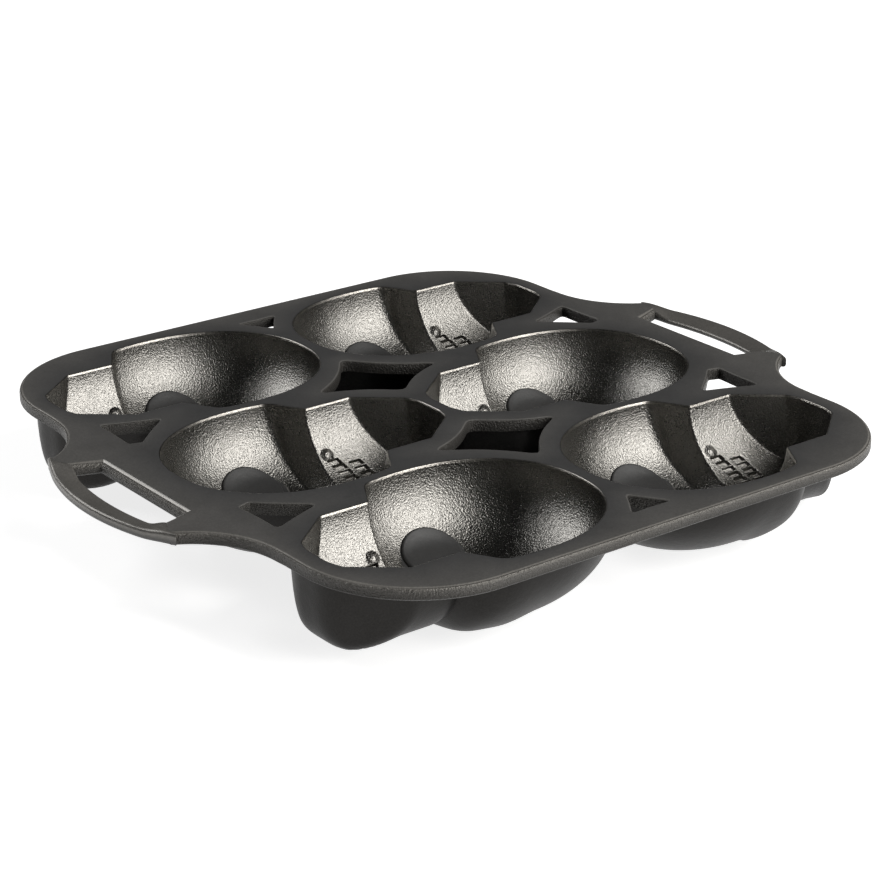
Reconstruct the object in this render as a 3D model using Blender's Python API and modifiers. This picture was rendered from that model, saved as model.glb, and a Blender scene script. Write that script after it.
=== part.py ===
"""Cast-iron skull cake pan: one plate, six skull-shaped cups hung under it, and two loop handles.

Metres, +Z up. X runs from handle to handle and Y across the pan. The origin is under the middle of
the pan, on the surface that it stands on, and the plate's top is at z = PAN_HEIGHT.
A point of a skull cup is given as (along, across, depth): along the skull from the crown, across from
its middle line, and down from the plate's top.
"""
import math

import bmesh
import bpy
import numpy as np
from mathutils import Matrix, Vector

# Skull hollow; places along it are shares of its length
SKULL_LENGTH = 0.1206
CROWN_HALF_LENGTH = 0.430 * SKULL_LENGTH
CROWN_HALF_WIDTH = 0.0443
CROWN_DEPTH = 0.0347
CROWN_FULLNESS = 2.2
CROWN_SPINE_SHARE = 0.62
CHEEK_ALONG = 0.592 * SKULL_LENGTH
CHEEK_HALF_WIDTH = 0.881 * CROWN_HALF_WIDTH
CHEEK_DEPTH = CROWN_DEPTH + 0.0005
CHEEK_FULLNESS = 2.2
RIDGE_ALONG = 0.647 * SKULL_LENGTH
RIDGE_LEAN = 0.0015
RIDGE_FULLNESS = 1.8
JAW_HALF_WIDTH = 0.630 * CROWN_HALF_WIDTH
JAW_DEPTH = 0.859 * CROWN_DEPTH
JAW_FULLNESS = 1.8
JAW_CORNER_ALONG = 0.828 * SKULL_LENGTH
CHIN_HALF_WIDTH = 0.290 * CROWN_HALF_WIDTH
CHIN_DEPTH = 0.893 * CROWN_DEPTH
CHIN_FULLNESS = 3.6
CHIN_SPINE_BACK = 0.0110
CHIN_ROUND = 0.0020

# Iron: wall, and the gap that stands for one casting running on
CUP_WALL = 0.0046
CAST_GAP = 0.0003

# Grid of cups: two columns and three rows, with lands of plate between and around them
ROW_LAND = 0.0042
CROWN_FROM_MIDDLE = 0.0029
END_LAND = 0.0088
SIDE_LAND = 0.0070
ROW_PITCH = 2 * CROWN_HALF_WIDTH + ROW_LAND

# Plate
PLATE_HALF_LENGTH = CROWN_FROM_MIDDLE + SKULL_LENGTH + END_LAND
PLATE_HALF_WIDTH = 1.5 * ROW_PITCH + SIDE_LAND
PLATE_CORNER_RADIUS = 0.0505
PLATE_THICKNESS = 0.0050

# Raised forms in the hollow, which leave the eyes, nose and teeth of a cake
SOCKET_ALONG = 0.413 * SKULL_LENGTH
SOCKET_ACROSS = 0.555 * CROWN_HALF_WIDTH
SOCKET_RADIUS = 0.0123
SOCKET_TOP_DEPTH = 0.804 * CROWN_DEPTH
SOCKET_TILT = 22
SOCKET_DRAFT = 0.0020
SOCKET_ROUND = 0.0016
NOSE_ALONG = 0.577 * SKULL_LENGTH
NOSE_RADIUS = 0.0080
NOSE_TOP_DEPTH = 0.764 * CROWN_DEPTH
NOSE_ROUND = 0.0015
UPPER_TEETH_ALONG = 0.730 * SKULL_LENGTH
LOWER_TEETH_ALONG = 0.804 * SKULL_LENGTH
UPPER_TEETH = 6
LOWER_TEETH = 6
TOOTH_PITCH = 0.0036
TOOTH_WIDTH = 0.0029
TOOTH_LENGTH = 0.0052
TOOTH_PRESS = 0.0012

# Holes through the plate, by their corners, as shares of the skull's length and the row pitch
HOLE_BOW = 0.08
TRIANGLE_BOW = 0.02
SIDE_HOLE_SHARES = ((0.806, 0.587), (1.003, 0.688), (1.008, 0.426), (0.966, 0.408))
MIDDLE_HOLE_SHARES = ((0.0, 0.727), (0.2555, 0.426), (0.0, 0.226), (-0.2555, 0.426))
EDGE_HOLE_SHARES = ((0.0, 1.272), (0.0785, 1.422), (-0.0785, 1.422))

# Handles
HANDLE_THICKNESS = 0.0055
HANDLE_REACH = 0.0321
BAR_WIDTH = 0.0101
BAR_DROP = 0.0013
BAR_TILT = 9
BAR_ROUND = 0.0011
RAMP_START = 0.0340
RAMP_LENGTH = 0.0085
FLARE_START = 0.0800
FLARE_RADIUS = 0.0396
FLARE_TURN = 64.2
SLOT_OFFSET = 0.0079
SLOT_NEAR_HALF = 0.0318
SLOT_FAR_HALF = 0.0352
SLOT_RISE = 0.0053
SLOT_BEVEL = 0.0024

FOOT_CUT = 0.0004
PAN_HEIGHT = CROWN_DEPTH + CUP_WALL - FOOT_CUT

# How finely round shapes are cut, and how far cutters overrun
CROWN_STEPS = 11
DEPTH_STEPS = 9
ROUND_SEGMENTS = 24
CORNER_STEPS = 8
HOLE_STEPS = 4
FLARE_STEPS = 6
BAR_STEPS = 12
MOUTH_OVERRUN = 0.0010
BOOLEAN_REACH = 0.0500

PLATE_IRON = (0.045, 0.044, 0.043, 1.0)
CUP_IRON = (0.062, 0.058, 0.054, 1.0)
HANDLE_IRON = (0.050, 0.048, 0.046, 1.0)


def clear_scene():
    """Remove every object that the new file starts with."""
    for item in list(bpy.data.objects):
        bpy.data.objects.remove(item, do_unlink=True)


def collection(name):
    """Make a collection in the scene."""
    made = bpy.data.collections.new(name)
    bpy.context.scene.collection.children.link(made)
    return made


def iron(name, colour, roughness):
    """Seasoned cast iron as a Principled material."""
    material = bpy.data.materials.new(name)
    material.use_nodes = True
    shader = material.node_tree.nodes["Principled BSDF"]
    shader.inputs["Base Color"].default_value = colour
    shader.inputs["Roughness"].default_value = roughness
    shader.inputs["Metallic"].default_value = 0.6
    return material


def add_object(name, mesh, group, material=None):
    """Put a mesh in a collection as a named object."""
    item = bpy.data.objects.new(name, mesh)
    group.objects.link(item)
    if material:
        mesh.materials.clear()
        mesh.materials.append(material)
    return item


def mark_cutter(item):
    """Show a cutter as wire and keep it out of renders."""
    item.display_type = "WIRE"
    item.hide_render = True
    return item


def cut(item, cutter, operation="DIFFERENCE"):
    """Add an exact Boolean that cuts with, joins or keeps the part inside another object."""
    modifier = item.modifiers.new(operation.title() + " " + cutter.name, "BOOLEAN")
    modifier.operation = operation
    modifier.object = cutter
    modifier.solver = "EXACT"


def settle(item):
    """Replace an object's mesh by its evaluated one, so that other objects can share it."""
    graph = bpy.context.evaluated_depsgraph_get()
    graph.update()
    mesh = bpy.data.meshes.new_from_object(item.evaluated_get(graph))
    item.modifiers.clear()
    item.data = mesh
    return item


def flat_plate(name, outlines, top, thickness, group, material=None):
    """A closed plate from flat outlines, the first one outer and the others holes."""
    curve = bpy.data.curves.new(name, "CURVE")
    curve.dimensions = "2D"
    curve.fill_mode = "BOTH"
    curve.extrude = thickness / 2
    for points in outlines:
        spline = curve.splines.new("POLY")
        spline.points.add(len(points) - 1)
        for point, (x, y) in zip(spline.points, points):
            point.co = (x, y, 0.0, 1.0)
        spline.use_cyclic_u = True
    item = bpy.data.objects.new(name, curve)
    item.location = (0.0, 0.0, top - thickness / 2)
    group.objects.link(item)
    graph = bpy.context.evaluated_depsgraph_get()
    graph.update()
    mesh = bpy.data.meshes.new_from_object(item.evaluated_get(graph))
    mesh.transform(item.matrix_world)
    bpy.data.objects.remove(item, do_unlink=True)
    soup = bmesh.new()
    soup.from_mesh(mesh)
    bmesh.ops.remove_doubles(soup, verts=soup.verts, dist=0.00001)
    bmesh.ops.dissolve_limit(soup, angle_limit=0.01, verts=soup.verts, edges=soup.edges)
    bmesh.ops.recalc_face_normals(soup, faces=soup.faces)
    soup.to_mesh(mesh)
    soup.free()
    return add_object(name, mesh, group, material)


def arc(centre, radius, start, stop, steps):
    """Points of a round stretch from one angle to another, in degrees."""
    angles = np.radians(np.linspace(start, stop, steps + 1))
    return [(centre[0] + radius * math.cos(a), centre[1] + radius * math.sin(a)) for a in angles]


def superellipse_share(share, fullness):
    """How much of its full reach one axis has left where the other stands at a share of its own."""
    return (1.0 - abs(share) ** fullness) ** (1.0 / fullness)


def crown_columns():
    """Lip points and middle-line points of the round crown, from its end to the cheek."""
    last = math.acos((CROWN_HALF_LENGTH - CHEEK_ALONG) / CROWN_HALF_LENGTH)
    columns = []
    for angle in np.linspace(0.0, last, CROWN_STEPS + 1)[:-1]:
        along = -math.cos(angle)
        across = superellipse_share(along, CROWN_FULLNESS)
        spine = CROWN_SPINE_SHARE * along
        columns.append((along, across, spine))
    return columns


def crown_path(along, across, spine, turn):
    """A point on the crown between its lip (turn 0) and its middle line (turn 1)."""
    power = CROWN_FULLNESS / 2
    start = np.array([math.copysign(abs(along) ** power, along), across ** power, 0.0])
    side = abs(spine) ** power
    stop = np.array([math.copysign(side, spine), 0.0, math.sqrt(1.0 - side * side)])
    sweep = math.acos(float(np.clip(start @ stop, -1.0, 1.0)))
    point = (math.sin((1.0 - turn) * sweep) * start + math.sin(turn * sweep) * stop) / math.sin(sweep)
    shape = np.sign(point) * np.abs(point) ** (1.0 / power)
    return (CROWN_HALF_LENGTH * (1.0 + shape[0]), CROWN_HALF_WIDTH * shape[1], CROWN_DEPTH * shape[2])


def face_columns():
    """Columns of the face, from the cheek to the chin: lip, middle line, depth and fullness."""
    chin_spine = SKULL_LENGTH - CHIN_SPINE_BACK
    columns = [(CHEEK_ALONG, CHEEK_HALF_WIDTH, CHEEK_ALONG, CHEEK_DEPTH, CHEEK_FULLNESS)]
    ridge_spine = RIDGE_ALONG + RIDGE_LEAN
    for share in (0.0, 0.33, 0.67, 1.0):
        lip = RIDGE_ALONG + share * (JAW_CORNER_ALONG - RIDGE_ALONG)
        spine = ridge_spine + share * (JAW_CORNER_ALONG - ridge_spine)
        fullness = RIDGE_FULLNESS if share == 0.0 else JAW_FULLNESS
        columns.append((lip, JAW_HALF_WIDTH, spine, JAW_DEPTH, fullness))
    for share in (0.5, 1.0):
        lip = JAW_CORNER_ALONG + share * (SKULL_LENGTH - CHIN_ROUND - JAW_CORNER_ALONG)
        width = JAW_HALF_WIDTH + share * (CHIN_HALF_WIDTH - JAW_HALF_WIDTH)
        spine = JAW_CORNER_ALONG + share * 0.8 * (chin_spine - JAW_CORNER_ALONG)
        depth = JAW_DEPTH + share * (CHIN_DEPTH - JAW_DEPTH)
        columns.append((lip, width, spine, depth, JAW_FULLNESS + share * (CHIN_FULLNESS - JAW_FULLNESS)))
    columns.append((SKULL_LENGTH, CHIN_HALF_WIDTH / 2, chin_spine, CHIN_DEPTH, CHIN_FULLNESS))
    columns.append((SKULL_LENGTH, 0.0, chin_spine, CHIN_DEPTH, CHIN_FULLNESS))
    return columns


def face_path(column, turn):
    """A point between lip and middle line on a quarter of a full ellipse."""
    lip, width, spine, depth, fullness = column
    power = 2.0 / fullness
    inward = 1.0 - math.cos(turn * math.pi / 2) ** power
    down = math.sin(turn * math.pi / 2) ** power
    return (lip + inward * (spine - lip), width * (1.0 - inward), depth * down)


def turn_at_depth(path, depth):
    """The turn at which a path first reaches a depth, found by halving."""
    low, high = 0.0, 1.0
    for _ in range(40):
        middle = (low + high) / 2
        if path(middle)[2] < depth:
            low = middle
        else:
            high = middle
    return high


def hollow_paths():
    """Every column of half the hollow as a function from turn to point, from the crown to the chin."""
    paths = [lambda turn, c=column: crown_path(*c, turn) for column in crown_columns()]
    paths += [lambda turn, c=column: face_path(c, turn) for column in face_columns()]
    return paths


def hollow_rows(first_depth, last_depth, steps):
    """Rows over half the hollow between two depths; no last depth means down to the middle line."""
    columns = []
    for path in hollow_paths():
        start = turn_at_depth(path, first_depth)
        stop = 1.0 if last_depth is None else turn_at_depth(path, last_depth)
        columns.append([path(start + (stop - start) * step / steps) for step in range(steps + 1)])
    return [list(row) for row in zip(*columns)]


def loft(name, rows, group):
    """A surface with a quad between each two neighbouring points of neighbouring rows."""
    wide = len(rows[0])
    points = [(along, across, -depth) for row in rows for along, across, depth in row]
    faces = []
    for i in range(len(rows) - 1):
        for j in range(wide - 1):
            a = i * wide + j
            faces.append((a, a + 1, a + wide + 1, a + wide))
    mesh = bpy.data.meshes.new(name)
    mesh.from_pydata(points, [], faces)
    return add_object(name, mesh, group)


def mirror_across(item):
    """Complete a half that is open at its middle line."""
    mirror = item.modifiers.new("Mirror", "MIRROR")
    mirror.use_axis = (False, True, False)
    mirror.use_mirror_merge = True
    mirror.merge_threshold = 0.00002
    return item


def edit(item, change):
    """Run a change on an object's mesh and turn its faces outwards."""
    soup = bmesh.new()
    soup.from_mesh(item.data)
    bmesh.ops.remove_doubles(soup, verts=soup.verts, dist=0.00002)
    change(soup)
    bmesh.ops.recalc_face_normals(soup, faces=soup.faces)
    soup.to_mesh(item.data)
    soup.free()
    return item


def cap_holes(soup):
    """Close each open edge loop with one face."""
    bmesh.ops.holes_fill(soup, edges=[e for e in soup.edges if e.is_boundary], sides=0)


def hollow_mouth(name, group):
    """A closed cutter with the hollow's outline, from above the plate to below its underside."""
    rows = hollow_rows(0.0, PLATE_THICKNESS + MOUTH_OVERRUN, 1)
    above = [(along, across, -MOUTH_OVERRUN) for along, across, _ in rows[0]]
    item = mirror_across(loft(name, [above] + rows, group))
    settle(item)
    return mark_cutter(edit(item, cap_holes))


def plug(name, place, radius, top_depth, foot_depth, round_over, tilt, group, segments):
    """A tapered plug that stands in the hollow, leaning out from the middle line, its top edge rounded."""
    along, across = place
    tall = foot_depth - top_depth
    bpy.ops.mesh.primitive_cone_add(
        vertices=segments, radius1=radius + SOCKET_DRAFT, radius2=radius, depth=tall,
        location=(0.0, 0.0, -tall / 2))
    item = bpy.context.object
    item.name = name
    move_to(item, group)
    apply_place(item)
    if round_over:
        soup = bmesh.new()
        soup.from_mesh(item.data)
        top = [e for e in soup.edges if all(abs(v.co.z) < 0.00001 for v in e.verts)]
        bmesh.ops.bevel(soup, geom=top, offset=round_over, segments=2, affect="EDGES", profile=0.5)
        soup.to_mesh(item.data)
        soup.free()
    lean = Matrix.Rotation(math.copysign(math.radians(tilt), across), 4, "X")
    item.data.transform(Matrix.Translation((along, across, -top_depth)) @ lean)
    return mark_cutter(item)


def move_to(item, group):
    """Take an object out of its collections and put it in one."""
    for owner in list(item.users_collection):
        owner.objects.unlink(item)
    group.objects.link(item)


def apply_place(item):
    """Write an object's place, turn and scale into its mesh."""
    bpy.context.view_layer.update()
    item.data.transform(item.matrix_world)
    item.matrix_world.identity()


def tooth_places():
    """Each tooth's row, and its turn on the jaw's section, for both sides of the mouth."""
    places = []
    for along, count in ((UPPER_TEETH_ALONG, UPPER_TEETH), (LOWER_TEETH_ALONG, LOWER_TEETH)):
        for number in range(count):
            places.append((along, (number + 0.5) * TOOTH_PITCH))
    return places


def jaw_section(along):
    """The jaw hollow's (across, depth, lean) as a function of the way along its wall from the middle."""
    column = (along, JAW_HALF_WIDTH, along, JAW_DEPTH, JAW_FULLNESS)
    turns = np.linspace(1.0, 0.2, 81)
    points = np.array([face_path(column, turn)[1:] for turn in turns])
    steps = np.hypot(*np.diff(points, axis=0).T)
    way = np.concatenate([[0.0], np.cumsum(steps)])

    def at(distance):
        """Across, depth and the wall's lean at a distance from the middle line."""
        across = np.interp(distance, way, points[:, 0])
        depth = np.interp(distance, way, points[:, 1])
        ahead = np.interp(distance + 0.0002, way, points[:, 1])
        beside = np.interp(distance + 0.0002, way, points[:, 0])
        return across, depth, math.atan2(depth - ahead, beside - across)

    return at


def tooth_pockets(group):
    """Small blocks that press the teeth into the jaw's wall, both rows in one cutter."""
    mesh = bpy.data.meshes.new("tooth_pockets")
    soup = bmesh.new()
    for along, way in tooth_places():
        across, depth, lean = jaw_section(along)(way)
        for side in (1, -1):
            size = Matrix.Diagonal((TOOTH_LENGTH, TOOTH_WIDTH, 2 * TOOTH_PRESS, 1.0))
            turn = Matrix.Rotation(side * lean, 4, "X")
            place = Matrix.Translation((along, side * across, -depth))
            bmesh.ops.create_cube(soup, size=1.0, matrix=place @ turn @ size)
    soup.to_mesh(mesh)
    soup.free()
    return mark_cutter(add_object("tooth_pockets", mesh, group))


def hollow_solid(name, grow, group):
    """The whole hollow as a closed solid, grown outwards by about the given distance."""
    item = mirror_across(loft(name, hollow_rows(0.0, None, DEPTH_STEPS), group))
    settle(item)
    edit(item, cap_holes)
    size = (1 + 2 * grow / SKULL_LENGTH, 1 + grow / CROWN_HALF_WIDTH, 1 + grow / CROWN_DEPTH)
    middle = Matrix.Translation((SKULL_LENGTH / 2, 0.0, 0.0))
    item.data.transform(middle @ Matrix.Diagonal((*size, 1.0)) @ middle.inverted())
    return mark_cutter(item)


def raised_form(cup, name, place, radius, top_depth, round_over, tilt, sides, seat, cutters):
    """Join a plug to the cup's floor and hollow it from below, so that the wall stays even."""
    boss = plug(name, place, radius, top_depth, CROWN_DEPTH + CUP_WALL, round_over, tilt, cutters, sides)
    cut(boss, seat, "INTERSECT")
    settle(boss)
    cut(cup, boss, "UNION")
    cut(cup, plug(name + "_back", place, radius - CUP_WALL, top_depth + CUP_WALL,
                  CROWN_DEPTH + 2 * CUP_WALL, 0.0, tilt, cutters, sides))


def cup_body(group, cutters):
    """One skull cup in its own frame: wall, eye sockets, nose and teeth."""
    rows = hollow_rows(PLATE_THICKNESS + CAST_GAP, None, DEPTH_STEPS)
    cup = mirror_across(loft("cup", rows, group))
    wall = cup.modifiers.new("Wall", "SOLIDIFY")
    wall.thickness = CUP_WALL
    wall.offset = 1.0
    wall.use_even_offset = True
    wall.use_quality_normals = True
    settle(cup)
    edit(cup, lambda soup: None)
    seat = hollow_solid("seat", CUP_WALL / 2, cutters)
    for name, side in (("left", 1), ("right", -1)):
        raised_form(cup, "socket_" + name, (SOCKET_ALONG, side * SOCKET_ACROSS), SOCKET_RADIUS,
                    SOCKET_TOP_DEPTH, SOCKET_ROUND, SOCKET_TILT, ROUND_SEGMENTS, seat, cutters)
    raised_form(cup, "nose", (NOSE_ALONG, 0.0), NOSE_RADIUS, NOSE_TOP_DEPTH, NOSE_ROUND, 0.0, 3, seat,
                cutters)
    cut(cup, tooth_pockets(cutters))
    return settle(cup)


def cell_box(name, column, row, group):
    """The block of space that one cup may fill: its grid cell, open towards the outside."""
    half = ROW_PITCH / 2 - CAST_GAP / 2
    low_y = row * ROW_PITCH - (half if row > -1 else BOOLEAN_REACH + half)
    high_y = row * ROW_PITCH + (half if row < 1 else BOOLEAN_REACH + half)
    low_x = CAST_GAP / 2 if column > 0 else -PLATE_HALF_LENGTH
    high_x = PLATE_HALF_LENGTH if column > 0 else -CAST_GAP / 2
    return block(name, (low_x, low_y, -BOOLEAN_REACH), (high_x, high_y, PAN_HEIGHT + BOOLEAN_REACH), group)


def block(name, low, high, group):
    """A box between two corners, as a cutter."""
    size = [b - a for a, b in zip(low, high)]
    middle = [(a + b) / 2 for a, b in zip(low, high)]
    bpy.ops.mesh.primitive_cube_add(size=1.0, location=middle)
    item = bpy.context.object
    item.name = name
    item.scale = size
    move_to(item, group)
    apply_place(item)
    return mark_cutter(item)


def cup_places():
    """Each cup's name, column, row, crown position and turn; skulls in a column face in turn."""
    places = []
    for column, side in ((-1, "left"), (1, "right")):
        for row, depth in ((1, "back"), (0, "middle"), (-1, "front")):
            crown_inside = row != 0
            faces_out = column if crown_inside else -column
            if crown_inside:
                crown_x = column * CROWN_FROM_MIDDLE
            else:
                crown_x = column * (CROWN_FROM_MIDDLE + SKULL_LENGTH)
            turn = 0.0 if faces_out > 0 else math.pi
            places.append((f"cup_{depth}_{side}", column, row, crown_x, turn))
    return places


def skull_matrix(crown_x, row, turn):
    """From a skull's own frame to the pan's."""
    return Matrix.Translation((crown_x, row * ROW_PITCH, PAN_HEIGHT)) @ Matrix.Rotation(turn, 4, "Z")


def make_cups(group, cutters, material):
    """The six cups, each trimmed to its cell, where neighbours share a web of iron."""
    master = cup_body(cutters, cutters)
    mark_cutter(master)
    for name, column, row, crown_x, turn in cup_places():
        cup = add_object(name, master.data.copy(), group, material)
        cup.data.transform(skull_matrix(crown_x, row, turn))
        cut(cup, cell_box("cell_" + name, column, row, cutters), "INTERSECT")
        cut(cup, block("foot_" + name, (-1, -1, -1), (1, 1, 0), cutters))
        settle(cup)


def plate_outline():
    """A rounded rectangle."""
    x = PLATE_HALF_LENGTH - PLATE_CORNER_RADIUS
    y = PLATE_HALF_WIDTH - PLATE_CORNER_RADIUS
    points = []
    for centre, start in (((x, y), 0), ((-x, y), 90), ((-x, -y), 180), ((x, -y), 270)):
        points += arc(centre, PLATE_CORNER_RADIUS, start, start + 90, CORNER_STEPS)
    return points


def bowed(corners, bow):
    """A hole's outline with its sides bowed inwards between its corners, by a share of their length."""
    centre = np.mean(np.array(corners), axis=0)
    points = []
    for start, stop in zip(corners, corners[1:] + corners[:1]):
        start, stop = np.array(start), np.array(stop)
        inward = np.array([start[1] - stop[1], stop[0] - start[0]])
        if inward @ (centre - (start + stop) / 2) < 0:
            inward = -inward
        for share in np.linspace(0.0, 1.0, HOLE_STEPS + 1)[:-1]:
            bend = 4 * share * (1 - share) * bow
            points.append(tuple(start + share * (stop - start) + bend * inward))
    return points


def plate_holes():
    """Every through hole of the plate: four at the sides, two in the middle, two at the edges."""
    holes = []
    for side in (1, -1):
        for end in (1, -1):
            holes.append(hole_outline(SIDE_HOLE_SHARES, TRIANGLE_BOW, end, side))
        holes.append(hole_outline(MIDDLE_HOLE_SHARES, HOLE_BOW, 1, side))
        holes.append(hole_outline(EDGE_HOLE_SHARES, TRIANGLE_BOW, 1, side))
    return holes


def hole_outline(corners, bow, end, side):
    """One hole's bowed outline, mirrored to its end and side of the plate."""
    return bowed([(end * x * SKULL_LENGTH, side * y * ROW_PITCH) for x, y in corners], bow)


def make_plate(group, cutters, material):
    """The flat top plate with its rounded edge, six skull mouths and eight holes."""
    plate = flat_plate("plate", [plate_outline()] + plate_holes(), PAN_HEIGHT, PLATE_THICKNESS,
                       group, material)
    mouth = hollow_mouth("mouth", cutters)
    for name, _, row, crown_x, turn in cup_places():
        one = mark_cutter(add_object("mouth_" + name, mouth.data.copy(), cutters))
        one.data.transform(skull_matrix(crown_x, row, turn))
        cut(plate, one)
    return plate


def handle_outline():
    """The right handle from above: flare, bowed bar and flare again, closed along the plate's side."""
    start = PLATE_HALF_LENGTH + CAST_GAP
    centre = (start + FLARE_RADIUS, FLARE_START)
    flare = arc(centre, FLARE_RADIUS, 180, 180 + FLARE_TURN, FLARE_STEPS)
    corner_x, corner_y = flare[-1]
    rise = PLATE_HALF_LENGTH + HANDLE_REACH - corner_x
    bar = bow_between((corner_x, corner_y), (corner_x, -corner_y), rise, BAR_STEPS)
    return flare + bar[1:-1] + [(x, -y) for x, y in reversed(flare)]


def bow_between(start, stop, rise, steps):
    """Points of a round stretch between two points one above the other, bowed to +X."""
    half = abs(start[1] - stop[1]) / 2
    radius = (half * half + rise * rise) / (2 * rise)
    angle = math.degrees(math.asin(half / radius))
    return arc((start[0] + rise - radius, (start[1] + stop[1]) / 2), radius, angle, -angle, steps)


def slot_outline():
    """The finger slot: straight by the plate, bowed by the bar, with slanted ends."""
    near = PLATE_HALF_LENGTH + SLOT_OFFSET
    far = PLATE_HALF_LENGTH + HANDLE_REACH - BAR_WIDTH
    bar = bow_between((far - SLOT_RISE, SLOT_FAR_HALF), (far - SLOT_RISE, -SLOT_FAR_HALF),
                      SLOT_RISE, BAR_STEPS)
    return bar + [(near, -SLOT_NEAR_HALF), (near, SLOT_NEAR_HALF)]


def bevel_top(item, outline, width):
    """Bevel the top edges of a flat plate that run along straight sides of an outline."""
    soup = bmesh.new()
    soup.from_mesh(item.data)
    top = max(vert.co.z for vert in soup.verts)
    corners = [(Vector((*a, top)), Vector((*b, top))) for a, b in zip(outline, outline[1:])]
    chosen = []
    for edge in soup.edges:
        for a, b in corners:
            near = [min((vert.co - end).length for vert in edge.verts) < 0.00002 for end in (a, b)]
            if all(near):
                chosen.append(edge)
    bmesh.ops.bevel(soup, geom=chosen, offset=width, segments=1, affect="EDGES")
    soup.to_mesh(item.data)
    soup.free()


def bar_drop(name, side, group):
    """The space over a handle's bar: it leans towards the slot and widens upwards into ramps."""
    reach = PLATE_HALF_LENGTH + HANDLE_REACH
    item = block(name, (-3 * BAR_WIDTH / 2, -RAMP_START, 0.0), (BAR_WIDTH, RAMP_START, BAR_WIDTH), group)
    widen = 1.0 + RAMP_LENGTH / RAMP_START
    for vert in item.data.vertices:
        if vert.co.z > BAR_WIDTH / 2:
            vert.co.y *= widen
    lean = Matrix.Rotation(-side * math.radians(BAR_TILT), 4, "Y")
    place = Matrix.Translation((side * reach, 0.0, PAN_HEIGHT - BAR_DROP))
    item.data.transform(place @ lean @ Matrix.Diagonal((side, 1.0, 1.0, 1.0)))
    if side < 0:
        item.data.flip_normals()
    return item


def make_handle(name, side, group, cutters, material):
    """One loop handle: its bar lies a little below the plate and is rounded."""
    outlines = [[(side * x, y) for x, y in points] for points in (handle_outline(), slot_outline())]
    handle = flat_plate(name, outlines, PAN_HEIGHT, HANDLE_THICKNESS, group, material)
    straight = [outlines[1][-3], outlines[1][-2], outlines[1][-1], outlines[1][0]]
    bevel_top(handle, straight, SLOT_BEVEL)
    cut(handle, bar_drop("drop_" + name, side, cutters))
    settle(handle)
    rounded = handle.modifiers.new("Round", "BEVEL")
    rounded.width = BAR_ROUND
    rounded.segments = 2
    rounded.limit_method = "ANGLE"
    rounded.angle_limit = math.radians(60)
    rounded.use_clamp_overlap = True
    return handle


def shade(item):
    """Smooth shading with creases kept sharp."""
    item.data.shade_smooth()
    item.data.set_sharp_from_angle(angle=math.radians(32))


def main():
    """Build the whole pan."""
    clear_scene()
    pan = collection("skull_cake_pan")
    cutters = collection("cutters")
    make_plate(pan, cutters, iron("plate_iron", PLATE_IRON, 0.5))
    make_cups(pan, cutters, iron("cup_iron", CUP_IRON, 0.42))
    handle_iron = iron("handle_iron", HANDLE_IRON, 0.48)
    for name, side in (("handle_right", 1), ("handle_left", -1)):
        make_handle(name, side, pan, cutters, handle_iron)
    for item in pan.objects:
        shade(item)


main()
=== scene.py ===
"""Looks of the skull cake pan: seasoned cast iron with six pebbled skull cups, a smooth deck and two handles.

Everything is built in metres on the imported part's own axes: the pan stands on z = 0, +X runs to the right
handle, +Y to the back edge and +Z up, out of the cups.
"""

import logging
import math
from dataclasses import dataclass, replace
from enum import Enum
from functools import cached_property

import bpy
import numpy as np
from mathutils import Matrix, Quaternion, Vector
from mathutils.geometry import delaunay_2d_cdt


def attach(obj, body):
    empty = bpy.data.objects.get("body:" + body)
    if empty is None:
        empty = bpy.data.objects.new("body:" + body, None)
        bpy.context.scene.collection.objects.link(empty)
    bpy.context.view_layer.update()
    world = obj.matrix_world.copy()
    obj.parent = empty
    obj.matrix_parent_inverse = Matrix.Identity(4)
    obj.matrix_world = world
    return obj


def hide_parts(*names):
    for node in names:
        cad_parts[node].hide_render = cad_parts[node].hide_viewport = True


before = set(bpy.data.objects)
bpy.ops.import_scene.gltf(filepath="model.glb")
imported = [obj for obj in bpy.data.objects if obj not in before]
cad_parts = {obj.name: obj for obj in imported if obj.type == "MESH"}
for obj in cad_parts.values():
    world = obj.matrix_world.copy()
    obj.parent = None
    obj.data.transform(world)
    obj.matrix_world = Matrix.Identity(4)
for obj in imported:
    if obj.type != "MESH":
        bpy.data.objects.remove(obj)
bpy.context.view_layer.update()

LOG = logging.getLogger("skull_cake_pan")

Array = np.ndarray
Corners = tuple[tuple[float, float], ...]


# Meshes


def add_object(name: str, data: bpy.types.ID) -> bpy.types.Object:
    """Add an object to the scene, at the origin.

    Args:
        name: the object's name.
        data: its mesh, light or camera.

    Returns:
        The new object.
    """
    item = bpy.data.objects.new(name, data)
    bpy.context.scene.collection.objects.link(item)
    return item


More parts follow.
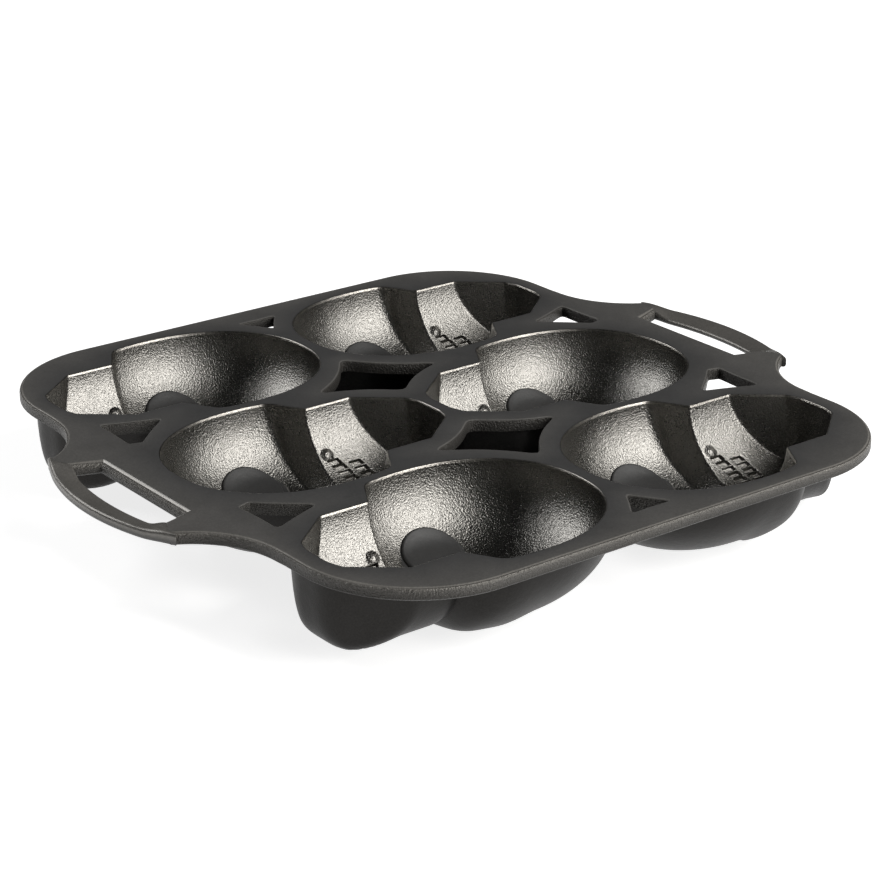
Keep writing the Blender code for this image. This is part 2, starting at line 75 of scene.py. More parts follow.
@dataclass
class Shell:
    """A closed mesh in the making: points, quads or triangles, and how worn and how pebbled each point is."""

    points: Array
    faces: list[tuple[int, ...]]
    worn: Array
    pebbled: Array
    crease_angle: float = 32.0
    creases: Array | None = None

    def to_object(self, name: str, material: bpy.types.Material) -> bpy.types.Object:
        """Turn the shell into an object at the origin.

        Args:
            name: the object's name.
            material: the finish it wears.

        Returns:
            The new object, smooth shaded with its sharp edges kept.
        """
        mesh = bpy.data.meshes.new(name)
        mesh.from_pydata(self.points.tolist(), [], self.faces)
        mesh.validate()
        mesh.materials.append(material)
        for word, values in (("worn", self.worn), ("pebbled", self.pebbled)):
            layer = mesh.attributes.new(word, "FLOAT", "POINT")
            layer.data.foreach_set("value", values.astype(np.float32))
        mesh.shade_smooth()
        mesh.set_sharp_from_angle(angle=math.radians(self.crease_angle))
        if self.creases is not None:
            self.keep_creases(mesh)
        return add_object(name, mesh)

    def keep_creases(self, mesh: bpy.types.Mesh) -> None:
        """Mark every edge that joins two crease points of the same loop as sharp.

        Args:
            mesh: the mesh, whose other sharp edges are marked already.
        """
        ends = np.empty(len(mesh.edges) * 2, dtype=np.int64)
        mesh.edges.foreach_get("vertices", ends)
        ends = ends.reshape(-1, 2)
        sharp = np.zeros(len(mesh.edges), dtype=bool)
        mesh.attributes["sharp_edge"].data.foreach_get("value", sharp)
        loops = self.creases[ends]
        sharp |= (loops[:, 0] >= 0) & (loops[:, 0] == loops[:, 1])
        mesh.attributes["sharp_edge"].data.foreach_set("value", sharp)


def numbered(count: int, wide: int) -> Array:
    """Numbers for a grid's points, row by row."""
    return np.arange(count * wide).reshape(count, wide)


def grid_faces(index: Array) -> Array:
    """Quads of each point, the next in its row and the two below; the last column runs on into the first."""
    ahead = np.roll(index, -1, axis=1)
    return np.stack([index[:-1], ahead[:-1], ahead[1:], index[1:]], axis=-1).reshape(-1, 4)


def ease(values: Array, low: float, high: float) -> Array:
    """Rise smoothly from 0 at low to 1 at high: three times the square less twice the cube."""
    share = np.clip((values - low) / (high - low), 0.0, 1.0)
    return share * share * (3.0 - 2.0 * share)


def inside_outline(points: Array, outline: Array) -> Array:
    """Whether flat points lie inside a closed outline, by counting the sides that a ray to +X crosses.

    Args:
        points: the points to test, as rows of x and y.
        outline: the outline's corners in order.

    Returns:
        True for each point inside.
    """
    start, stop = outline, np.roll(outline, -1, axis=0)
    x, y = points[:, 0, None], points[:, 1, None]
    spans = (start[:, 1] > y) != (stop[:, 1] > y)
    rise = np.where(stop[:, 1] == start[:, 1], 1e-12, stop[:, 1] - start[:, 1])
    meets = start[:, 0] + (y - start[:, 1]) / rise * (stop[:, 0] - start[:, 0])
    return (np.sum(spans & (x < meets), axis=1) % 2).astype(bool)


def full_turn(count: int) -> Array:
    """Angles that part a full turn evenly, from 0 on."""
    return np.linspace(0.0, 2.0 * math.pi, count + 1)[:-1]


def on_circle(angle: Array) -> Array:
    """Points of the unit circle: each angle's cosine and sine."""
    return np.stack([np.cos(angle), np.sin(angle)], axis=-1)


def unit(vectors: Array) -> Array:
    """Vectors divided by their own lengths."""
    return vectors / np.maximum(np.linalg.norm(vectors, axis=-1, keepdims=True), 1e-12)


def turned_left(vectors: Array) -> Array:
    """Flat vectors turned a quarter to the left: less their y, then their x."""
    return np.stack([-vectors[:, 1], vectors[:, 0]], axis=1)


def left_normals(outline: Array) -> Array:
    """Unit normals on the left of a closed outline's direction, each from its neighbours' chord."""
    return turned_left(unit(np.roll(outline, -1, axis=0) - np.roll(outline, 1, axis=0)))


def softened(points: Array, axis: int) -> Array:
    """Each point of closed loops replaced by a quarter of each neighbour's place and half of its own."""
    return (np.roll(points, 1, axis=axis) + 2.0 * points + np.roll(points, -1, axis=axis)) / 4.0


def way_down(grid: Array) -> Array:
    """The summed lengths of the steps down each column of a grid, from its first row to each point."""
    steps = np.linalg.norm(np.diff(grid, axis=0), axis=-1)
    return np.concatenate([np.zeros((1, grid.shape[1])), np.cumsum(steps, axis=0)])


def arch(off: Array, half: float, fullness: float) -> Array:
    """Height of a full ellipse's arch: one less the share's power, brought back by the power's root."""
    return np.clip(1.0 - np.abs(off / half) ** fullness, 0.0, 1.0) ** (1.0 / fullness)


def between_keys(keys: Array, counts: tuple[int, ...]) -> Array:
    """Points that part each way from one key to the next evenly, with the first and last key.

    Args:
        keys: points on the last axis but one.
        counts: how many steps lie between each key and the next.

    Returns:
        The points, on the same axis.
    """
    parts = [key + np.arange(count) / count for key, count in enumerate(counts)]
    where = np.concatenate([*parts, [float(len(counts))]])
    low = np.minimum(where.astype(int), len(counts) - 1)
    share = (where - low)[:, None]
    return keys[..., low, :] * (1.0 - share) + keys[..., low + 1, :] * share


# Sizes


@dataclass(frozen=True)
class PanSizes:
    """Sizes that the sub-assemblies share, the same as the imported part's."""

    height: float = 0.0389
    skull_length: float = 0.1206
    crown_half_width: float = 0.0443
    crown_depth: float = 0.0347
    crown_from_middle: float = 0.0029
    row_pitch: float = 0.0928
    half_length: float = 0.1323
    half_width: float = 0.1462
    corner_radius: float = 0.0505
    deck_thickness: float = 0.0050
    wall: float = 0.0046
    lip_round: float = 0.00045
    cast_gap: float = 0.0003


class Seat(Enum):
    """Where a cup sits: column (-1 left, 1 right) and row (1 back, 0 middle, -1 front)."""

    BACK_LEFT = (-1, 1)
    MIDDLE_LEFT = (-1, 0)
    FRONT_LEFT = (-1, -1)
    BACK_RIGHT = (1, 1)
    MIDDLE_RIGHT = (1, 0)
    FRONT_RIGHT = (1, -1)

    @property
    def column(self) -> int:
        """The column, -1 or 1."""
        return self.value[0]

    @property
    def row(self) -> int:
        """The row, -1, 0 or 1."""
        return self.value[1]

    @property
    def label(self) -> str:
        """The words that name this seat in object names."""
        return self.name.lower()

    @property
    def facing(self) -> int:
        """1 where the skull's chin points to +X, -1 where it points to -X."""
        return self.column if self.row != 0 else -self.column

    def crown_x(self, sizes: PanSizes) -> float:
        """The x of the crown's end."""
        out = 0.0 if self.row != 0 else sizes.skull_length
        return self.column * (sizes.crown_from_middle + out)

    def place(self, points: Array, sizes: PanSizes) -> Array:
        """Carry a skull's points into the pan's axes: a half turn or none, then a shift.

        Args:
            points: points as (along, across, depth).
            sizes: the pan's sizes.

        Returns:
            The same points as (x, y, z).
        """
        x = self.crown_x(sizes) + self.facing * points[..., 0]
        y = self.row * sizes.row_pitch + self.facing * points[..., 1]
        z = sizes.height - points[..., 2]
        return np.stack([x, y, z], axis=-1)


# Hollow


@dataclass(frozen=True)
class SkullHollow:
    """The cavity's surface, as a function of a column (crown to chin) and a turn (lip to middle line)."""

    sizes: PanSizes
    half_length: float = 0.0519
    fullness: float = 2.2
    spine_share: float = 0.62
    cheek: tuple[float, float, float, float, float] = (0.0714, 0.0390, 0.0714, 0.0352, 2.2)
    ridge_along: float = 0.0780
    ridge_lean: float = 0.0015
    ridge_fullness: float = 1.7
    jaw_half_width: float = 0.0279
    jaw_depth: float = 0.0298
    jaw_fullness: float = 1.7
    jaw_corner: float = 0.0999
    chin_half_width: float = 0.01285
    chin_depth: float = 0.0310
    chin_fullness: float = 3.6
    chin_spine_back: float = 0.0110
    chin_round: float = 0.0020
    facet_lean: float = 0.0029
    facet_depth: float = 0.0259
    facet_fullness: float = 2.1
    crown_steps: int = 58
    taper_steps: tuple[int, int, int] = (40, 8, 7)
    taper_near: float = 0.8
    fine_rows: int = 401

    def crown_grid(self, first_depth: float, rows: int) -> Array:
        """The crown: a superellipsoid swept between its lip and its middle line.

        In powered coordinates (each share raised to half the fullness) the surface is a unit sphere, and a
        column is the great circle from its lip point to its middle-line point. Powers are undone at the end.

        Args:
            first_depth: depth of the first row.
            rows: number of rows.

        Returns:
            Points as an array of rows, columns and (along, across, depth).
        """
        power = self.fullness / 2.0
        last = math.acos((self.half_length - self.cheek[0]) / self.half_length)
        angle = np.linspace(0.0, last, self.crown_steps + 1)[:-1]
        along = -np.cos(angle)
        across = (1.0 - np.abs(along) ** self.fullness) ** (1.0 / self.fullness)
        spine = self.spine_share * along
        zero = np.zeros_like(along)
        start = np.stack([np.sign(along) * np.abs(along) ** power, across**power, zero], axis=1)
        side = np.abs(spine) ** power
        stop = np.stack([np.sign(spine) * side, zero, np.sqrt(1.0 - side**2)], axis=1)
        sweep = np.arccos(np.clip(np.sum(start * stop, axis=1), -1.0, 1.0))
        rise = (first_depth / self.sizes.crown_depth) ** power * np.sin(sweep) / stop[:, 2]
        first = np.arcsin(np.clip(rise, 0.0, 1.0)) / sweep
        turn = first + (1.0 - first) * np.linspace(0.0, 1.0, rows)[:, None]
        a = np.sin((1.0 - turn) * sweep)[..., None] * start
        b = np.sin(turn * sweep)[..., None] * stop
        point = (a + b) / np.sin(sweep)[:, None]
        shape = np.sign(point) * np.abs(point) ** (1.0 / power)
        shape[-1, :, 1] = 0.0
        sizes = np.array([self.half_length, self.sizes.crown_half_width, self.sizes.crown_depth])
        return shape * sizes + np.array([self.half_length, 0.0, 0.0])

    def face_keys(self) -> Array:
        """Key columns of the face, from the cheek to the jaw's corner.

        Returns:
            A row a key: lip, half width, middle line, depth, fullness and steps from the key before.
        """
        keys = [(*self.cheek, 1)]
        ridge_spine = self.ridge_along + self.ridge_lean
        for share, steps in ((0.0, 12), (0.33, 21), (0.67, 21), (1.0, 21)):
            lip = self.ridge_along + share * (self.jaw_corner - self.ridge_along)
            spine = ridge_spine + share * (self.jaw_corner - ridge_spine)
            full = self.ridge_fullness if share == 0.0 else self.jaw_fullness
            keys.append((lip, self.jaw_half_width, spine, self.jaw_depth, full, steps))
        return np.array(keys)

    def face_grid(self, first_depth: float, rows: int) -> Array:
        """The face: key columns on quarters of full ellipses, with straight rulings between them.

        Depth is the sine of the turn to the power two over the fullness, and the way in from the lip is one
        less the cosine to the same power. The turn is spread so that rows lie evenly.

        Args:
            first_depth: depth of the first row.
            rows: number of rows.

        Returns:
            Points as an array of rows, columns and (along, across, depth).
        """
        lip, width, spine, depth, full, steps = self.face_keys().T
        power = 2.0 / full
        first = np.arcsin((first_depth / depth) ** (1.0 / power)) / (math.pi / 2)
        even = np.linspace(0.0, 1.0, rows)[:, None]
        bend = full / 2.0
        start = first ** (1.0 / bend)
        start = start / (start + (1.0 - first) ** (1.0 / bend))
        spread = start + (1.0 - start) * even
        turn = spread**bend / (spread**bend + (1.0 - spread) ** bend)
        inward = 1.0 - np.cos(np.clip(turn, 0.0, 1.0) * math.pi / 2) ** power
        inward[-1] = 1.0
        down = np.sin(turn * math.pi / 2) ** power
        keys = np.stack([lip + inward * (spine - lip), width * (1.0 - inward), depth * down], axis=-1)
        return between_keys(keys, tuple(steps[1:].astype(int)))

    def chin_depth_under(self, along: Array, across: Array) -> Array:
        """Depth beyond the jaw's corner: the least of the jaw's bowl, the slanted facet and the end wall.

        The facet's depth is a power of the way in from its lip, and the end wall is a quarter of a full
        ellipse that starts at the chin's lip, whose corner is chamfered.

        Args:
            along: places from the crown's end.
            across: places from the middle line.

        Returns:
            The depth at each place.
        """
        spine = self.sizes.skull_length - self.chin_spine_back
        share = np.clip((along - self.jaw_corner) / (spine - self.jaw_corner), 0.0, 1.0)
        floor = self.jaw_depth + share * (self.chin_depth - self.jaw_depth)
        bowl = floor * arch(across, self.jaw_half_width, self.jaw_fullness)
        run = np.array([self.sizes.skull_length - self.chin_round, self.chin_half_width])
        run = unit(run - np.array([self.jaw_corner, self.jaw_half_width]))
        inside = -run[1] * (self.jaw_corner - along) + run[0] * (self.jaw_half_width - across)
        facet = self.facet_depth * (np.clip(inside, 0.0, 1.0) / self.facet_lean) ** (1.0 / self.facet_fullness)
        half = self.chin_half_width / 2.0
        lip = self.sizes.skull_length - self.chin_round * np.clip(across / half - 1.0, 0.0, 4.0)
        back = np.clip(1.0 - (lip - along) / self.chin_spine_back, 0.0, 1.0)
        return np.minimum(np.minimum(bowl, facet), floor * arch(back, 1.0, self.chin_fullness))

    def taper_grid(self, first_depth: float, rows: int) -> Array:
        """The taper to the chin: straight runs seen from above, from lip to middle line, at their depth.

        Each run is sampled closely near its lip and then spaced out evenly by its length along the surface.

        Args:
            first_depth: depth of the first row.
            rows: number of rows.

        Returns:
            Points as an array of rows, columns and (along, across, depth).
        """
        length = self.sizes.skull_length
        spine = length - self.chin_spine_back
        near = self.jaw_corner + self.taper_near * (spine - self.jaw_corner)
        keys = np.array([
            (self.jaw_corner, self.jaw_half_width, self.jaw_corner),
            (length - self.chin_round, self.chin_half_width, near),
            (length, self.chin_half_width / 2.0, spine),
            (length, 0.0, spine),
        ])
        lip_s, lip_w, spine_s = between_keys(keys, self.taper_steps)[1:].T
        ahead = np.linspace(0.0, 1.0, self.fine_rows)[:, None] ** 3
        along = lip_s + ahead * (spine_s - lip_s)
        across = lip_w * (1.0 - ahead)
        depth = self.chin_depth_under(along, across)
        depth[0] = 0.0
        points = np.stack([along, across, depth], axis=-1)
        way = way_down(points)
        made = []
        for column in range(len(lip_s)):
            begin = np.interp(first_depth, depth[:, column], way[:, column])
            at = np.linspace(begin, way[-1, column], rows)
            made.append([np.interp(at, way[:, column], points[:, column, axis]) for axis in range(3)])
        return np.array(made).transpose(2, 0, 1)

    def grid(self, first_depth: float, rows: int, soften: int) -> Array:
        """The whole hollow as rows by columns all the way round, its creases softened as cast.

        The second half mirrors the first, and the softening runs along the rows.

        Args:
            first_depth: depth of the first row.
            rows: number of rows.
            soften: how many times it is softened.

        Returns:
            Points as an array of rows, columns and (along, across, depth), crown end first.
        """
        parts = [part(first_depth, rows) for part in (self.crown_grid, self.face_grid, self.taper_grid)]
        half = np.concatenate(parts, axis=1)
        half[:, 0, 1] = 0.0
        half[:, -1, 1] = 0.0
        other = half[:, -2:0:-1] * np.array([1.0, -1.0, 1.0])
        full = np.concatenate([half, other], axis=1)
        for _ in range(soften):
            full = softened(full, 1)
        full[-1, :, 1] = 0.0
        full[:, 0, 1] = 0.0
        full[:, half.shape[1] - 1, 1] = 0.0
        return full

    def floor_depth(self, along: Array, across: Array) -> Array:
        """Depth of the hollow under flat points: the crown's superellipsoid, then rulings to the ridge.

        Args:
            along: places from the crown's end.
            across: places from the middle line.

        Returns:
            The depth at each place.
        """
        x = np.abs((along - self.half_length) / self.half_length) ** self.fullness
        y = np.abs(across / self.sizes.crown_half_width) ** self.fullness
        crown = self.sizes.crown_depth * np.clip(1.0 - x - y, 0.0, 1.0) ** (1.0 / self.fullness)
        lip, width, _, depth, full = self.cheek
        cheek = depth * arch(across, width, full)
        ridge = self.jaw_depth * arch(across, self.jaw_half_width, self.ridge_fullness)
        share = np.clip((along - lip) / (self.ridge_along + self.ridge_lean - lip), 0.0, 1.0)
        return np.where(along < lip, crown, cheek + share * (ridge - cheek))


def surface_normals(grid: Array) -> Array:
    """Unit normals of a grid that runs round, from the cross product of its column and row differences."""
    along = np.roll(grid, -1, axis=1) - np.roll(grid, 1, axis=1)
    return unit(np.cross(along, np.gradient(grid, axis=0)))


# Cups


@dataclass(frozen=True)
class BossFrame:
    """A boss's own tilted frame: x along the skull, y across it and z down from the middle of its flat top."""

    hollow: SkullHollow
    place: tuple[float, float]
    top: float
    lean: float
    ring: Array
    settle_steps: int = 10
    settle_share: float = 0.9

    def in_cup(self, out: Array, z: Array) -> Array:
        """Carry points of the frame into the cup.

        Args:
            out: how far out each point lies, in the directions of the ring.
            z: how far below the flat top it lies.

        Returns:
            The points as (along, across, depth).
        """
        x, y = self.ring[:, 0] * out, self.ring[:, 1] * out
        across = self.place[1] + y * math.cos(self.lean) + z * math.sin(self.lean)
        depth = self.top - y * math.sin(self.lean) + z * math.cos(self.lean)
        return np.stack([self.place[0] + x, across, depth], axis=-1)

    def ground(self, out: Array) -> Array:
        """Find the cup's floor, by stepping along z by most of what is missing to the floor's depth.

        Args:
            out: how far out each point lies, in the directions of the ring.

        Returns:
            The z at which the floor lies.
        """
        z = np.zeros(np.broadcast_shapes(out.shape, (len(self.ring),)))
        for _ in range(self.settle_steps):
            point = self.in_cup(out, z)
            missing = self.hollow.floor_depth(point[..., 0], point[..., 1]) - point[..., 2]
            z = z + self.settle_share * missing
        return z


@dataclass
class SkullCup:
    """One cup: pebbled cavity with its teeth, rounded lip, outer wall and the two eye bosses and the nose."""

    sizes: PanSizes
    hollow: SkullHollow
    seat: Seat
    cavity_rows: int = 132
    wall_rows: int = 46
    cavity_soften: int = 2
    wall_soften: int = 9
    outer_fullness: tuple[float, float, float] = (2.1, 2.7, 4.0)
    lip_steps: int = 5
    lip_worn_rows: int = 2
    hidden_depth: float = 0.0026
    fillet: float = 0.0024
    cheek_bulge: float = 0.0016
    cheek_place: tuple[float, float] = (0.0665, 0.0270)
    cheek_reach: tuple[float, float] = (0.004, 0.020)
    tooth_pitch: float = 0.0030
    tooth_width: float = 0.0026
    tooth_length: float = 0.0060
    tooth_press: float = 0.0014
    tooth_edge: float = 0.0004
    tooth_arch: float = 12.4
    tooth_rows: tuple[tuple[float, int], ...] = ((0.0893, 7), (0.0974, 6))
    knob_place: tuple[float, float, float] = (0.0826, 0.0195, 0.0188)
    knob_radius: float = 0.0032
    knob_height: float = 0.0012
    socket_place: tuple[float, float] = (0.0498, 0.0246)
    proud: float = 0.0013
    socket_radius: float = 0.0130
    socket_sides: int = 56
    socket_top: float = 0.0277
    socket_round: float = 0.0012
    socket_tilt: float = 22.0
    socket_draft: float = 0.0020
    dimple_radius: float = 0.0075
    dimple_slope: float = 4.0
    boss_rings: tuple[float, ...] = (0.2, 0.4, 0.6, 0.75)
    boss_steps: int = 5
    boss_foot: float = 0.0014
    boss_tuck: float = 0.9
    boss_sink: float = 0.0012
    boss_under: tuple[float, float] = (0.0014, 0.0008)
    nose_place: tuple[float, float] = (0.0696, 0.0)
    nose_radius: float = 0.0080
    nose_sides: int = 48
    nose_waist: float = 0.26
    nose_flat: float = -0.6
    nose_top: float = 0.0265
    nose_round: float = 0.0012
    nose_draft: float = 0.0006

    @property
    def name(self) -> str:
        """The CAD node that this cup stands for."""
        return "cup_" + self.seat.label

    @cached_property
    def cavity(self) -> Array:
        """The cavity with its teeth pressed in and its knob raised.

        Returns:
            Rows of points as (along, across, depth), from just under the lip to the middle line.
        """
        grid = self.hollow.grid(self.sizes.lip_round, self.cavity_rows, self.cavity_soften)
        pressed = self.tooth_depth(grid) - self.knob_rise(grid)
        return grid - surface_normals(grid) * pressed[..., None]

    def knob_rise(self, grid: Array) -> Array:
        """How far the small knob beside the teeth stands up.

        It is the knob's height times one less the squared share of its radius, to the power one and a half.

        Args:
            grid: the cavity's points.

        Returns:
            The rise at each point.
        """
        along, across, depth = self.knob_place
        off = np.abs(grid) - np.array([along, across, depth])
        share = np.clip(1.0 - np.sum(off * off, axis=-1) / self.knob_radius**2, 0.0, 1.0)
        return self.knob_height * share**1.5

    def tooth_depth(self, grid: Array) -> Array:
        """How far the teeth press into the jaw's wall: a rounded box for each tooth.

        A tooth's box is one smooth step along the jaw times one along the wall's arc from its middle line. Each
        row is an arch: it falls back towards the nose by the square of that arc, times the arch's number a metre.

        Args:
            grid: the cavity's points.

        Returns:
            The press at each point.
        """
        pressed = np.zeros(grid.shape[:2])
        way = way_down(grid[::-1])[::-1]
        half_long, half_wide = self.tooth_length / 2, self.tooth_width / 2
        for along, count in self.tooth_rows:
            back = np.abs(grid[..., 0] - along + self.tooth_arch * way**2)
            side = 1.0 - ease(back, half_long - self.tooth_edge, half_long)
            for number in range(count):
                middle = (number + 0.5) * self.tooth_pitch
                off = np.abs(way - middle)
                box = 1.0 - ease(off, half_wide - self.tooth_edge, half_wide)
                pressed = np.maximum(pressed, side * box * self.tooth_press)
        return pressed

    @cached_property
    def lip_line(self) -> tuple[Array, Array]:
        """The lip seen from above.

        Returns:
            Its points and their outward normals.
        """
        line = self.cavity[0, :, :2]
        return line, left_normals(line)

    def mouth_ring(self) -> Array:
        """The ring on the deck where the lip's rounding ends.

        Returns:
            Its points in the pan's axes.
        """
        line, normal = self.lip_line
        ring = np.zeros((len(line), 3))
        ring[:, :2] = line + normal * self.sizes.lip_round
        return self.seat.place(ring, self.sizes)

    def lip_rows(self) -> Array:
        """The lip's rounding, a quarter circle from the wall up to the deck, then down inside the deck.

        Returns:
            Rows of points as (along, across, depth).
        """
        line, normal = self.lip_line
        radius = self.sizes.lip_round
        turn = np.linspace(0.0, math.pi / 2, self.lip_steps + 1)[1:, None]
        out = radius * (1.0 - np.cos(turn))
        depth = radius * (1.0 - np.sin(turn))
        depth[-1] = 0.0
        flat = line[None] + normal[None] * out[..., None]
        rows = np.concatenate([flat, np.broadcast_to(depth[..., None], (*flat.shape[:2], 1))], axis=-1)
        under = rows[-1:].copy()
        under[..., 2] = self.hidden_depth
        return np.concatenate([rows, under], axis=0)

    def outer_wall(self) -> Array:
        """The outer wall: the hollow carried out along its normals by the wall, with a fillet under the deck.

        The fillet adds a quarter circle's reach that fades away below the deck. The cheeks are a little
        thicker, the eyes are hollowed from below, and the wall is kept inside the cup's own cell of the grid.

        Returns:
            Rows of points as (along, across, depth), from the deck to the middle line.
        """
        ridge, jaw, chin = self.outer_fullness
        outside = replace(self.hollow, ridge_fullness=ridge, jaw_fullness=jaw, chin_fullness=chin)
        grid = outside.grid(self.hidden_depth, self.wall_rows, self.wall_soften)
        normal = surface_normals(grid)
        cheek = np.hypot(grid[..., 0] - self.cheek_place[0], np.abs(grid[..., 1]) - self.cheek_place[1])
        thick = self.sizes.wall + self.cheek_bulge * (1.0 - ease(cheek, *self.cheek_reach))
        wall = grid - normal * thick[..., None]
        below = wall[..., 2] - self.sizes.deck_thickness
        share = np.clip(1.0 - below / self.fillet, 0.0, 1.0)
        reach = self.fillet * (1.0 - np.sqrt(1.0 - share**2))
        wall[..., :2] -= unit(normal[..., :2]) * reach[..., None]
        outward = np.abs(wall[..., 1]) - self.socket_place[1]
        off = np.hypot(wall[..., 0] - self.socket_place[0], outward)
        roof = self.socket_top + self.sizes.wall - math.tan(math.radians(self.socket_tilt)) * outward
        roof += self.dimple_slope * np.clip(off - self.dimple_radius, 0.0, 1.0)
        wall[..., 2] = np.minimum(wall[..., 2], roof)
        return self.keep_in_cell(wall)

    def keep_in_cell(self, wall: Array) -> Array:
        """Clip the outer wall at the planes that it shares with its neighbours and at the standing plane.

        Args:
            wall: points as (along, across, depth), which are changed.

        Returns:
            The same points, clipped.
        """
        half = self.sizes.row_pitch / 2
        toward_low = -half if self.seat.row > -1 else -1.0
        toward_high = half if self.seat.row < 1 else 1.0
        if self.seat.facing < 0:
            toward_low, toward_high = -toward_high, -toward_low
        wall[..., 1] = np.clip(wall[..., 1], toward_low, toward_high)
        if self.seat.row != 0:
            wall[..., 0] = np.maximum(wall[..., 0], -self.sizes.crown_from_middle)
        else:
            wall[..., 0] = np.minimum(wall[..., 0], self.sizes.skull_length + self.sizes.crown_from_middle)
        wall[..., 2] = np.minimum(wall[..., 2], self.sizes.height)
        return wall

    def shell(self) -> Shell:
        """The closed cup: cavity from its middle line up, lip, hidden run, then the outer wall down.

        Returns:
            The cup in the pan's axes.
        """
        rows = np.concatenate([self.cavity[::-1], self.lip_rows(), self.outer_wall()], axis=0)
        count, wide = rows.shape[:2]
        index = numbered(count, wide)
        back = (-np.arange(wide)) % wide
        first_half = np.arange(wide) <= wide // 2
        for row in (0, count - 1):
            index[row] = np.where(first_half, index[row], index[row][back])
        used, inverse = np.unique(index, return_inverse=True)
        index = inverse.reshape(index.shape)
        points = self.seat.place(rows, self.sizes).reshape(-1, 3)[used]
        worn = np.zeros((count, wide))
        top = self.cavity_rows
        worn[top - self.lip_worn_rows : top + self.lip_steps] = 1.0
        cast = np.zeros((count, wide))
        cast[: top - 1] = 1.0
        faces = grid_faces(index).tolist()
        return Shell(points, faces, worn.reshape(-1)[used], cast.reshape(-1)[used], crease_angle=38.0)

    def boss(self, place: tuple[float, float], outline: Array, top: float, rounding: float,
             tilt: float, draft: float) -> Shell:
        """A flat-topped boss that stands in the cavity, its foot flared into the floor.

        It is made in its own tilted frame, where rings of the outline shrink over the top's rounding, and grow
        with the side's draft and at the foot.

        Args:
            place: its middle, along and across the skull.
            outline: the side's outline around its middle, as unit shape times radius.
            top: depth of the flat top at its middle.
            rounding: radius at the top's edge.
            tilt: how far it leans out from the middle line, in degrees.
            draft: how far its side spreads.

        Returns:
            The closed boss in the pan's axes.
        """
        lean = math.copysign(math.radians(tilt), place[1])
        reach = np.linalg.norm(outline, axis=1)
        stand = BossFrame(self.hollow, place, top, lean, outline / reach[:, None])
        quarter = np.linspace(0.0, math.pi / 2, self.boss_steps + 1)
        foot = self.boss_foot
        out = [reach * share for share in self.boss_rings]
        out += [reach - rounding * (1.0 - math.sin(a)) for a in quarter]
        fall = [0.0] * len(self.boss_rings) + [rounding * (1.0 - math.cos(a)) for a in quarter]
        top_rows = len(out)
        down = [np.minimum(0.0, stand.ground(o) - self.proud) + f for o, f in zip(out, fall)]
        low = np.maximum(stand.ground(reach + draft) - foot, down[-1])
        for share in (0.5, 1.0):
            out.append(reach + draft * share)
            down.append(down[top_rows - 1] + share * (low - down[top_rows - 1]))
        side_rows = len(out)
        for a in quarter[1:]:
            out.append(reach + draft + foot * (1.0 - math.cos(a)))
            down.append(np.maximum(low, low + (stand.ground(out[-1]) - low) * math.sin(a)))
        out.append(reach + draft + foot * self.boss_tuck)
        down.append(down[-1] + self.boss_sink)
        out, down = np.stack(out), np.stack(down)
        order = np.linspace(0.0, 1.0, len(out))[:, None]
        least, more = self.boss_under
        down = np.minimum(down, stand.ground(out) + least + more * order)
        points = stand.in_cup(out, down)
        count, wide = points.shape[:2]
        index = numbered(count, wide)
        faces = grid_faces(index[::-1]).tolist()
        centre = np.stack([points[0].mean(axis=0), points[-1].mean(axis=0)])
        ahead = np.roll(index, -1, axis=1)
        top_fan = np.stack([index[0], np.full(wide, count * wide), ahead[0]], axis=-1)[:, ::-1]
        end_fan = np.stack([index[-1], ahead[-1], np.full(wide, count * wide + 1)], axis=-1)[:, ::-1]
        faces += top_fan.tolist() + end_fan.tolist()
        points = np.concatenate([points.reshape(-1, 3), centre])
        worn = np.zeros(len(points))
        worn[len(self.boss_rings) * wide : top_rows * wide] = 1.0
        cast = np.zeros(len(points))
        cast[side_rows * wide : -len(centre)] = 1.0
        return Shell(self.seat.place(points, self.sizes), faces, worn, cast)

    def round_outline(self) -> Array:
        """The eye's circle, as points around its middle."""
        return self.socket_radius * on_circle(full_turn(self.socket_sides))

    def nose_outline(self) -> Array:
        """A three-sided outline with soft corners: the radius grows with the cosine of three turns.

        Returns:
            Its points around its middle.
        """
        angle = full_turn(self.nose_sides)
        corner = ease(np.cos(3.0 * (angle - math.pi)), self.nose_flat, 1.0)
        radius = self.nose_radius * (1.0 - self.nose_waist + self.nose_waist * corner)
        return radius[:, None] * on_circle(angle)

    def build(self, pebbled: bpy.types.Material, smooth: bpy.types.Material) -> list[bpy.types.Object]:
        """Build this cup's pieces.

        Args:
            pebbled: the finish of cavity and wall.
            smooth: the finish of the bosses.

        Returns:
            The cup, two eye bosses and the nose.
        """
        made = [self.shell().to_object("skull_" + self.seat.label, pebbled)]
        for word, side in (("a", 1.0), ("b", -1.0)):
            place = (self.socket_place[0], side * self.socket_place[1])
            boss = self.boss(place, self.round_outline(), self.socket_top, self.socket_round,
                             self.socket_tilt, self.socket_draft)
            made.append(boss.to_object(f"eye_{word}_{self.seat.label}", smooth))
        nose = self.boss(self.nose_place, self.nose_outline(), self.nose_top, self.nose_round, 0.0, self.nose_draft)
        made.append(nose.to_object("nose_" + self.seat.label, smooth))
        return made


# Deck


